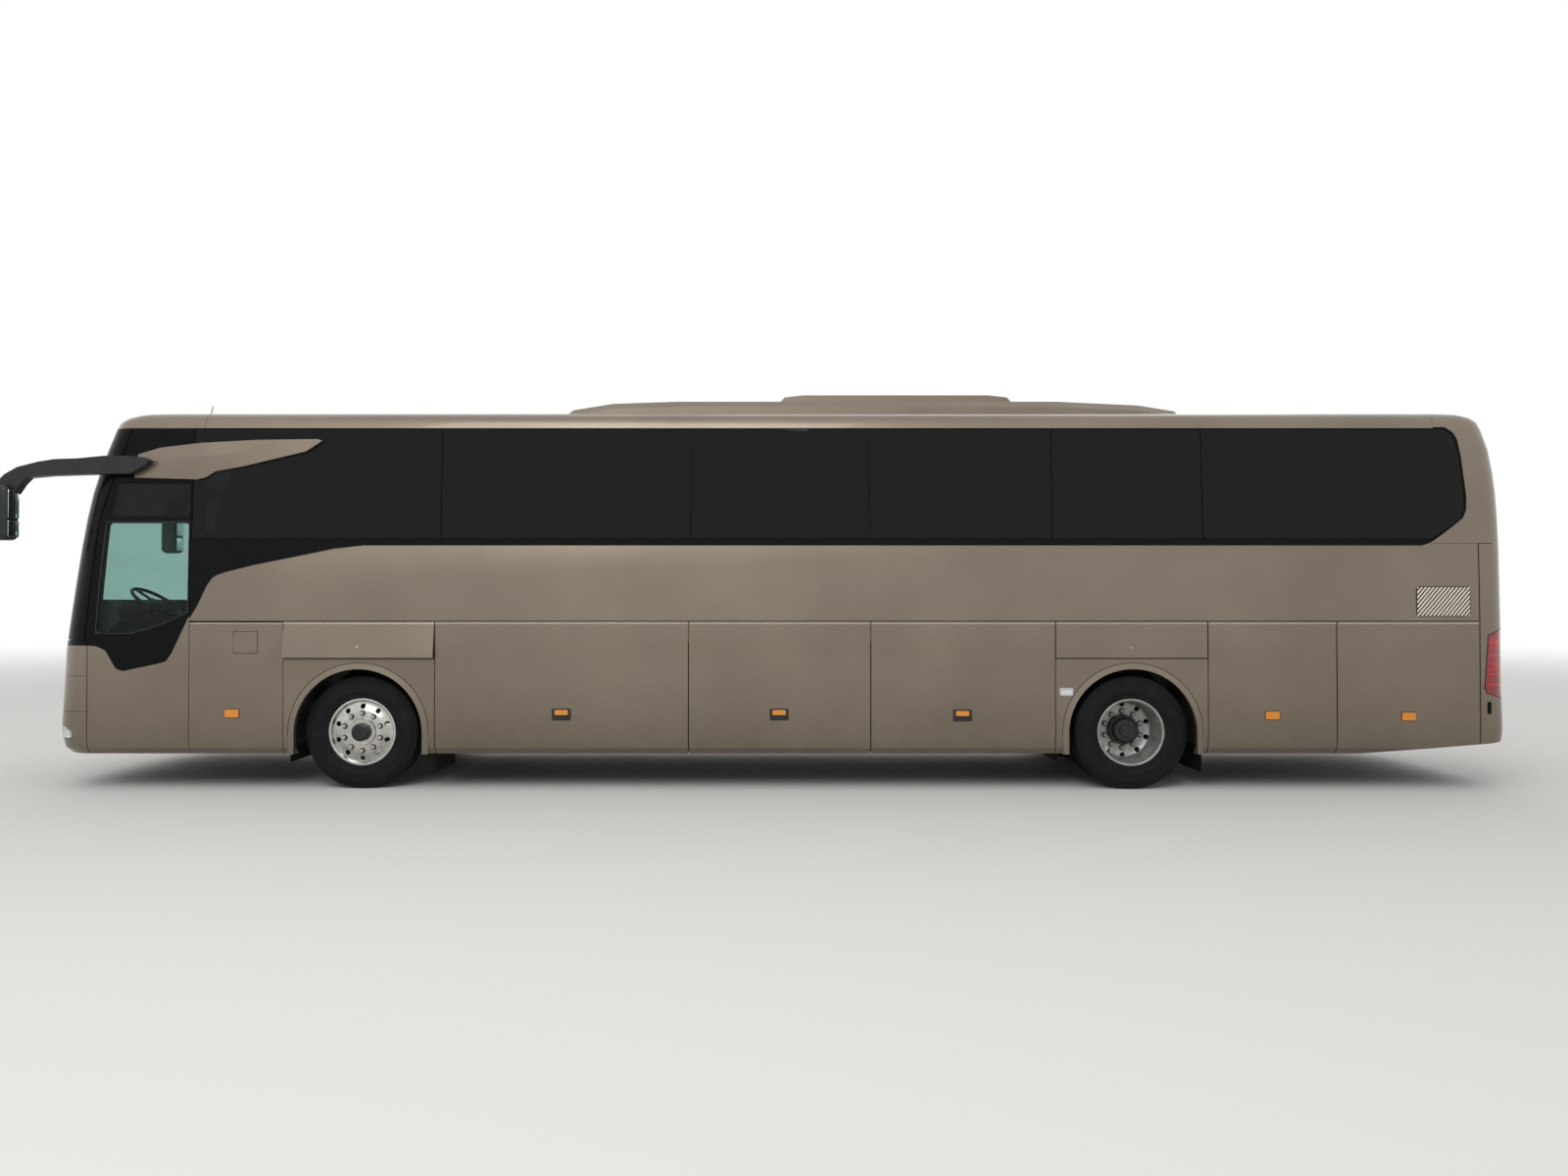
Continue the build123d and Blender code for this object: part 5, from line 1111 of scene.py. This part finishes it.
def end_fitting(name, material, body, hem, end, plates):
    """A piece of plates that follow the nose or tail, each as its middle across and up, thickness, width
    and height, corner radius, and how proud it stands."""
    mesh = bmesh.new()
    for y, z, size, radius, proud in plates:
        own = rounded_box((0, y, z), size, 0, radius, 4)
        cuts = max(2, round(size[1] / 0.08))
        for number in range(1, cuts):
            cut_along(own, (0, y - size[1] / 2 + size[1] * number / cuts, 0), (0, 1, 0))
        for vert in own.verts:
            vert.co.x += end_x(end, vert.co.y, vert.co.z) + end * proud
        join(mesh, own)
        own.free()
    make_piece(mesh, name, (material,), body, hem=hem)


def strut(mesh, start, stop, across, deep):
    """A straight bar of rectangular section between two points."""
    matrix, length = along(start, stop)
    bmesh.ops.create_cube(mesh, size=1.0, matrix=matrix @ Matrix.Diagonal((across, deep, length, 1)))


intake_slats = [(0.0, z, (0.014, 1.18, 0.010), 0.003, 0.004) for z in INTAKE_SLATS_Z]
for name, material, hem, plates in (
    ("bumper_intake", black_plastic, 0.002, [(0.0, 0.452, (0.006, 1.24, 0.150), 0.035, 0.0)]),
    ("bumper_slats", black_lacquer, 0.001, intake_slats),
    ("front_plate_holder", black_plastic, 0.001, [(0.0, 0.610, (0.010, 0.54, 0.125), 0.008, 0.003)]),
    ("front_plate_blank", number_blank, 0.0006, [(0.0, 0.612, (0.004, 0.52, 0.110), 0.008, 0.009)]),
):
    end_fitting(name, material, "coach", hem, -1, plates)
mesh = bmesh.new()
for pivot_y, reach in ((-0.62, 1), (0.62, -1)):
    pivot = Vector((end_x(-1, pivot_y, WIPER_PIVOT_Z) - 0.022, pivot_y, WIPER_PIVOT_Z))
    knee_y, knee_z = pivot_y + reach * WIPER_KNEE[0], WIPER_KNEE[1]
    knee = Vector((end_x(-1, knee_y, knee_z) - 0.034, knee_y, knee_z))
    rod(mesh, pivot + Vector((0.03, 0, 0)), pivot - Vector((0.012, 0, 0)), 0.020, 24)
    strut(mesh, pivot, knee, 0.012, 0.022)
    blade = [pivot_y + reach * step * BLADE_STEP for step in range(BLADE_STEPS + 1)]
    for y0, y1 in zip(blade, blade[1:]):
        z0, z1 = (BLADE_Z + BLADE_RISE * abs(y - pivot_y) for y in (y0, y1))
        start = Vector((end_x(-1, y0, z0) - 0.014, y0, z0))
        strut(mesh, start, Vector((end_x(-1, y1, z1) - 0.014, y1, z1)), 0.016, 0.012)
make_piece(mesh, "wipers", (black_plastic,), "coach", hem=0.0015)

# Tail fittings: louvres and a handle on the engine hatch, a blank number plate in its recess, a high stop
# lamp with two reflectors, and a dark lens on each side, all moulded in plastic and clipped in, and the
# exhaust's steel end, clamped under the bumper
louvres = [(0.0, 1.02 + number * 0.034, (0.012, 1.36, 0.016), 0.004, 0.003) for number in range(9)]
stop_lamp = [(0.0, 3.085, (0.010, 0.46, 0.026), 0.010, 0.003)]
stop_lamp += [(side * 0.86, 0.560, (0.008, 0.110, 0.045), 0.010, 0.003) for side in HANDS]
for name, material, body, slot, hem, plates in (
    ("hatch_louvres", black_plastic, "engine_hatch", "black_trim", 0.0015, louvres),
    ("hatch_handle", black_plastic, "engine_hatch", "black_trim", 0.003,
     [(0.0, 1.42, (0.014, 0.34, 0.050), 0.020, 0.005)]),
    ("rear_plate_recess", black_plastic, "coach", "black_trim", 0.001,
     [(0.0, 0.735, (0.008, 0.56, 0.150), 0.012, -0.004)]),
    ("rear_plate_blank", number_blank, "coach", "black_trim", 0.0006,
     [(0.0, 0.730, (0.004, 0.52, 0.110), 0.008, 0.001)]),
    ("high_stop_lamp", red_acrylic, "coach", "red_lens", 0.002, stop_lamp),
):
    end_fitting(name, material, body, hem, 1, plates)
mesh = bmesh.new()
for side in HANDS:
    side_plates(mesh, 6.507, 0.729, side, ((-0.0005, 0.0, (0.036, 0.006, 0.112), 0.0175),), 6)
make_piece(mesh, "rear_side_lenses", (black_lacquer,), "coach", hem=0.002)
mesh = bmesh.new()
rod(mesh, (6.30, -0.62, 0.405), (6.66, -0.62, 0.395), 0.055, 32)
make_piece(mesh, "exhaust_end", (silver_paint,), "coach", hem=0.002)

# Roof fittings: two emergency hatches with moulded lids, fan rings of the air unit, and a whip aerial
# on a rubber foot, each screwed to the roof's skin and sealed
HATCHES_X = (-3.35, 5.05)
HATCH_LID = (0.92, 0.70, 0.050)
HATCH_Z = 3.464
FANS_X = (-0.75, -0.15, 2.95)
FANS_Y = (-0.42, 0.42)
FAN_Z = 3.546
FAN_RINGS_R = (0.225, 0.165, 0.105)


def rounded_pad(size, cuts, power):
    """A closed pad with full edges: a cut cube swollen out to a rounded block."""
    own = bmesh.new()
    bmesh.ops.create_cube(own, size=2.0)
    bmesh.ops.subdivide_edges(own, edges=own.edges[:], cuts=cuts, use_grid_fill=True)
    for vert in own.verts:
        reach = max(abs(value) for value in vert.co)
        norm = sum(abs(value) ** power for value in vert.co) ** (1 / power)
        vert.co *= reach / norm
    for vert in own.verts:
        vert.co = Vector(value * half / 2 for value, half in zip(vert.co, size))
    return own


mesh = bmesh.new()
lid = rounded_pad(HATCH_LID, 5, 9.0)
for x in HATCHES_X:
    join(mesh, lid, Matrix.Translation((x, 0, HATCH_Z)))
lid.free()
make_piece(mesh, "roof_hatch_lids", (cabin_lining,), "coach", smooth_deg=60.0)
mesh = bmesh.new()
for x in FANS_X:
    for y in FANS_Y:
        for radius in FAN_RINGS_R:
            add_cone(mesh, Matrix.Translation((x, y, FAN_Z)), (radius, radius - 0.006), 0.014, 40)
            hole = Matrix.Translation((x, y, FAN_Z + 0.005))
            add_cone(mesh, hole, (radius - 0.018, radius - 0.018), 0.010, 40)
make_piece(mesh, "fan_rings", (black_plastic,), "coach", hem=0.001)
mesh = bmesh.new()
rod(mesh, (-5.55, 0, 3.36), (-5.545, 0, 3.44), 0.022, 20)
rod(mesh, (-5.545, 0, 3.43), (-5.50, 0, 3.64), 0.004, 10)
make_piece(mesh, "aerial", (black_plastic,), "coach")

# Side fittings: rubber seals round the driver's window, each door's glass and the wheel-arch lips, a push
# handle on each door's rear stile, and rubber guards and mudflaps screwed to the wheel housings
SIDE_TUCKS = ((1.489, 0.0), (1.812, 0.004), (2.174, 0.013), (2.420, 0.024), (2.641, 0.035), (2.817, 0.045))
DRIVER_SEAL = (
    (-5.863, 1.392), (-5.54, 1.390), (-5.27, 1.470), (-5.044, 1.581), (-5.044, 1.812), (-5.044, 2.174),
    (-5.044, 2.384), (-5.781, 2.384), (-5.802, 2.174), (-5.835, 1.812),
)
# Each door's glass, body, and the station of its push handle
DOOR_SEALS = (("front_door_glass", "front_door", -5.096), ("mid_door_glass", "mid_door", 1.853))
HANDLE_Z = 1.05
HANDLE_DISH = ((0.001, 0.0, (0.056, 0.006, 0.110), 0.012),)
HANDLE_PUSH = ((0.004, 0.025, (0.030, 0.006, 0.030), 0.0145),)
ARC_STEPS = 48
LIP_FOOT_Z = 0.48
# Rebate strip behind the foot of each flap over a wheel, which keeps spray out: its span and section
FLAP_FEET_X = ((-4.191, -2.857), (2.665, 4.008))
STRIP_Y = 1.2265
STRIP_Z = 1.168
# Guards ahead of the wheels and mudflaps behind them: station from the axle, and height of the foot
MUDFLAPS = ((-0.646, 0.235), (0.646, 0.140))
MUDFLAP_HEAD_Z = 0.47
MUDFLAP_Y = 0.86


def side_y(z):
    """Distance of the side's skin from the centre line at a height."""
    if z <= SIDE_TUCKS[0][0]:
        return BODY_Y
    for low, high in zip(SIDE_TUCKS, SIDE_TUCKS[1:]):
        if z <= high[0]:
            break
    return BODY_Y - low[1] - (z - low[0]) / (high[0] - low[0]) * (high[1] - low[1])


def seal_strip(mesh, points, side, width, proud):
    """A strip of rubber along a line on a side wall."""
    for (x0, z0), (x1, z1) in zip(points, points[1:]):
        if math.hypot(x1 - x0, z1 - z0) > 0.0005:
            start = Vector((x0, side * (side_y(z0) + proud), z0))
            strut(mesh, start, Vector((x1, side * (side_y(z1) + proud), z1)), width, width)


def pane_rim(node):
    """Outer rim of a door's pane, in order round it and closed."""
    verts = cad_nodes[node].data.vertices
    corners = [vert.co for vert in verts if vert.co.y > side_y(vert.co.z) - 0.010]
    middle = sum(corners, Vector()) / len(corners)
    corners.sort(key=lambda corner: math.atan2(corner.z - middle.z, corner.x - middle.x))
    rim = [(corner.x, corner.z) for corner in corners]
    return rim + rim[:1]


mesh = bmesh.new()
seal_strip(mesh, DRIVER_SEAL + DRIVER_SEAL[:1], -1, 0.009, -0.0015)
make_piece(mesh, "driver_window_seal", (black_plastic,), "coach", hem=0.001)
for pane, body, handle_x in DOOR_SEALS:
    mesh = bmesh.new()
    seal_strip(mesh, pane_rim(pane), 1, 0.010, -0.002)
    side_plates(mesh, handle_x, HANDLE_Z, 1, HANDLE_DISH)
    make_piece(mesh, f"{body}_seal", (black_plastic,), body)
    at = (handle_x, HANDLE_Z, 1)
    side_fitting(f"{body}_push_handle", silver_paint, body, "silver_steel", 0.001, *at, HANDLE_PUSH, 8)
mesh = bmesh.new()
for axle_x in (FRONT_AXLE_X, REAR_AXLE_X):
    radius = LIP_OUTER_R + 0.002
    arc = [(axle_x - radius, LIP_FOOT_Z)]
    for step in range(ARC_STEPS + 1):
        turn = math.pi * step / ARC_STEPS
        arc.append((axle_x - radius * math.cos(turn), TYRE_R + radius * math.sin(turn)))
    arc.append((axle_x + radius, LIP_FOOT_Z))
    for side in HANDS:
        seal_strip(mesh, arc, side, 0.006, -0.0015)
make_piece(mesh, "arch_lip_seals", (black_plastic,), "coach")
mesh = bmesh.new()
for x0, x1 in FLAP_FEET_X:
    for side in HANDS:
        add_box(mesh, ((x0 + x1) / 2, side * STRIP_Y, STRIP_Z), (x1 - x0, 0.006, 0.036))
make_piece(mesh, "flap_rebate_strips", (black_plastic,), "coach")
mesh = bmesh.new()
for axle_x in (FRONT_AXLE_X, REAR_AXLE_X):
    for offset, foot_z in MUDFLAPS:
        for side in HANDS:
            centre = (axle_x + offset, side * MUDFLAP_Y, (foot_z + MUDFLAP_HEAD_Z) / 2)
            add_box(mesh, centre, (0.008, 0.60, MUDFLAP_HEAD_Z - foot_z))
make_piece(mesh, "mudflaps", (tyre_rubber,), "coach", hem=0.002)

# Seats: foam cushions and reclined backs sewn in dark blue moquette, with moulded rear shells and
# armrests, on steel pedestals bolted to the floor; the driver's seat stands alone in the cab
# Moquette: a cut pile that drinks light and shines softly at its edges. Its threads are 1 mm apart and
# are drawn at 4 mm
moquette = finish(
    "woven_moquette",
    {"Roughness": 0.9, "Sheen Weight": 0.3},
    dict(kind="ShaderNodeTexVoronoi", values={"Scale": 250.0}),
    ((0.0, "#2c3345"), (0.6, "#1d2230")),
    bump=(0.3, 0.001),
)
# Powder coat: an even satin grey, scuffed darker by shoes
grey_steel = finish(
    "grey_powder_coated_steel",
    {"Roughness": 0.5},
    dict(kind="ShaderNodeTexNoise", values={"Scale": 12.0, "Detail": 5.0, "Roughness": 0.6}),
    ((0.3, "#4b4d50"), (0.7, "#3b3d40")),
)
SEAT_PITCH = 0.78
FIRST_SEAT_X = -4.45
SEAT_ROWS = 13
SEATS_Y = (0.5125, 0.9375)
SEAT_Z = 1.64
DRIVER_SEAT = (-5.47, -0.70, 1.27)
STAIR_ROWS_X = (0.235, 1.923)
SALOON_FLOOR_Z = 1.35
CAB_FLOOR_Z = 0.88
CUSHION = (0.46, 0.42, 0.13)
BACKREST = (0.115, 0.42, 0.74)
SHELL = (0.028, 0.40, 0.70)
ARMREST = (0.30, 0.045, 0.035)
SEAT_FRAME = (0.42, 0.38, 0.03)
FOOT_PLATE = (0.34, 0.12, 0.012)
PEDESTAL = (0.26, 0.05)
LEAN = math.radians(14)
HEADREST_Z = 0.52


def channel(value, at, width, depth):
    """Depth of a sewn channel across a pad, at one place along it."""
    return depth * math.exp(-(((value - at) / width) ** 2))


def cushion_pad():
    """A seat cushion: crowned, dished between its side rolls, with a channel across behind its nose."""
    own = rounded_pad(CUSHION, 11, 6.0)
    for vert in own.verts:
        u, v = vert.co.x / CUSHION[0] * 2, vert.co.y / CUSHION[1] * 2
        if vert.co.z > 0:
            vert.co.z += 0.020 * (1 - u * u) - 0.014 * math.exp(-((v / 0.55) ** 4))
            vert.co.z -= channel(u, -0.45, 0.07, 0.010) + channel(abs(v), 0.66, 0.07, 0.008)
        vert.co.x -= 0.012 * (1 - v * v) * (u < -0.8)
    return own


def backrest_pad():
    """A backrest: side rolls, a thinner waist, a raised headrest and three channels across."""
    own = rounded_pad(BACKREST, 13, 6.0)
    for vert in own.verts:
        v, w = vert.co.y / BACKREST[1] * 2, vert.co.z / BACKREST[2] * 2
        if vert.co.x < 0:
            vert.co.x += 0.016 * math.exp(-((v / 0.5) ** 4)) - 0.022 * (w > HEADREST_Z) * (1 - v * v)
            for level in (-0.45, 0.02, HEADREST_Z):
                vert.co.x += channel(w, level, 0.045, 0.010)
            vert.co.x += channel(abs(v), 0.68, 0.07, 0.008)
        vert.co.y *= 1 - 0.10 * max(w - 0.55, 0) / 0.45
    return own


def seat_places():
    """Station of the front edge, distance from the centre line and foot height of every seat."""
    for row in range(SEAT_ROWS):
        x = FIRST_SEAT_X + row * SEAT_PITCH
        for side in HANDS:
            if side > 0 and STAIR_ROWS_X[0] < x < STAIR_ROWS_X[1]:
                continue
            for middle in SEATS_Y:
                yield x, side * middle, SEAT_Z
    yield DRIVER_SEAT


cushions, backs, shells, stands = bmesh.new(), bmesh.new(), bmesh.new(), bmesh.new()
cushion, backrest = cushion_pad(), backrest_pad()
shell = rounded_pad(SHELL, 7, 9.0)
armrest = rounded_pad(ARMREST, 5, 6.0)
for x, y, foot in seat_places():
    join(cushions, cushion, Matrix.Translation((x + 0.235, y, foot + 0.062)))
    hinge = Matrix.Translation((x + 0.485, y, foot + 0.10)) @ Matrix.Rotation(LEAN, 4, "Y")
    join(backs, backrest, hinge @ Matrix.Translation((0.01, 0, 0.36)))
    join(shells, shell, hinge @ Matrix.Translation((0.062, 0, 0.33)))
    arm_y = y + math.copysign(0.215, -y)
    join(shells, armrest, Matrix.Translation((x + 0.33, arm_y, foot + 0.27)))
    floor_z = CAB_FLOOR_Z if x < -5 else SALOON_FLOOR_Z
    add_box(stands, (x + 0.27, y, foot - 0.008), SEAT_FRAME)
    add_box(stands, (x + 0.27, y, (foot + floor_z) / 2 - 0.01), (*PEDESTAL, foot - floor_z - 0.02))
    add_box(stands, (x + 0.27, y, floor_z + 0.006), FOOT_PLATE)
for pad in (cushion, backrest, shell, armrest):
    pad.free()
for mesh, name, node in (
    (cushions, "seat_cushion_pads", "seat_cushions"), (backs, "seat_back_pads", "seat_backs"),
):
    piece = make_piece(mesh, name, (moquette,), "coach", (node,), smooth_deg=60.0)
make_piece(shells, "seat_shells", (black_plastic,), "coach", smooth_deg=60.0)
make_piece(stands, "seat_stands", (grey_steel,), "coach", hem=0.003)

# Studio: a plain pale floor that fades to white far off, one broad soft lamp over the camera's side and a
# weaker one behind, under an even sky that is white where the camera sees it
FLOOR_R = 120
FADE_M = (13.0, 42.0)
SKY_DIM = 0.38
WHITE = (1.0, 1.0, 1.0, 1.0)
LAMP_AIM = Vector((0, 0, 1.5))


def seen_plainly(tree):
    """1 for what the camera sees by itself, in a mirror or through glass, and 0 for light on the object."""
    path = add_node(tree, "ShaderNodeLightPath").outputs
    mirrored = add_node(
        tree,
        "ShaderNodeMath",
        links={0: path["Is Glossy Ray"], 1: path["Is Transmission Ray"]},
        operation="MAXIMUM",
    )
    seen = add_node(
        tree, "ShaderNodeMath", links={0: path["Is Camera Ray"], 1: mirrored.outputs[0]}, operation="MAXIMUM"
    )
    return seen.outputs[0]


floor_material = new_material("pale_studio_floor")
tree = floor_material.node_tree
paper = add_node(tree, "ShaderNodeBsdfPrincipled", {"Base Color": linear("#d6d5d2"), "Roughness": 0.9})
place = add_node(tree, "ShaderNodeTexCoord")
away = add_node(tree, "ShaderNodeVectorMath", links={0: place.outputs["Object"]}, operation="LENGTH")
fade = add_node(
    tree,
    "ShaderNodeMapRange",
    {"From Min": FADE_M[0], "From Max": FADE_M[1]},
    {"Value": away.outputs["Value"]},
    interpolation_type="SMOOTHSTEP",
)
share = add_node(
    tree, "ShaderNodeMath", links={0: fade.outputs[0], 1: seen_plainly(tree)}, operation="MULTIPLY"
)
white = add_node(tree, "ShaderNodeEmission", {"Color": WHITE, "Strength": 1.0})
faded = add_node(
    tree, "ShaderNodeMixShader", links={0: share.outputs[0], 1: paper.outputs[0], 2: white.outputs[0]}
)
surface(floor_material, faded)
mesh = bmesh.new()
bmesh.ops.create_circle(mesh, cap_ends=True, segments=64, radius=FLOOR_R)
data = bpy.data.meshes.new("studio_floor")
mesh.to_mesh(data)
mesh.free()
data.materials.append(floor_material)
floor = bpy.data.objects.new("studio_floor", data)
collection.objects.link(floor)

for name, lamp_place, size, power in (
    ("key_lamp", (-3.0, -13.0, 11.0), 9.0, 900.0),
    ("fill_lamp", (5.0, 12.0, 10.0), 12.0, 260.0),
):
    lamp = bpy.data.lights.new(name, "AREA")
    lamp.size = size
    lamp.energy = power
    lamp_object = bpy.data.objects.new(name, lamp)
    lamp_object.location = lamp_place
    lamp_object.rotation_euler = (LAMP_AIM - Vector(lamp_place)).to_track_quat("-Z", "Y").to_euler()
    collection.objects.link(lamp_object)

world = bpy.data.worlds.new("studio_sky")
bpy.context.scene.world = world
world.use_nodes = True
tree = world.node_tree
tree.nodes.clear()
place = add_node(tree, "ShaderNodeTexCoord")
direction = add_node(tree, "ShaderNodeSeparateXYZ", links={0: place.outputs["Generated"]})
sky = add_node(
    tree,
    "ShaderNodeMapRange",
    {"From Min": 0.0, "From Max": 1.0, "To Min": SKY_DIM, "To Max": 1.0},
    {"Value": direction.outputs["Z"]},
)
strength = add_node(
    tree, "ShaderNodeMix", {3: 1.0}, {0: seen_plainly(tree), 2: sky.outputs[0]}, data_type="FLOAT"
)
backdrop = add_node(tree, "ShaderNodeBackground", {"Color": WHITE}, {"Strength": strength.outputs[0]})
add_node(tree, "ShaderNodeOutputWorld", links={"Surface": backdrop.outputs[0]})

# Camera: where the photograph was taken, 9.7 m from the left side at eye height, tilted up a little
CAMERA_PLACE = (0.25, -10.935, 1.68)
CAMERA_TILT_DEG = 90.67
FOCAL_PIXELS = 1110
IMAGE_WIDTH = 1600
camera_data = bpy.data.cameras.new("camera")
camera_data.sensor_width = 36.0
camera_data.lens = camera_data.sensor_width * FOCAL_PIXELS / IMAGE_WIDTH
camera = bpy.data.objects.new("camera", camera_data)
camera.location = CAMERA_PLACE
camera.rotation_euler = (math.radians(CAMERA_TILT_DEG), 0, 0)
collection.objects.link(camera)
bpy.context.scene.camera = camera
bpy.context.scene.view_settings.view_transform = "Standard"
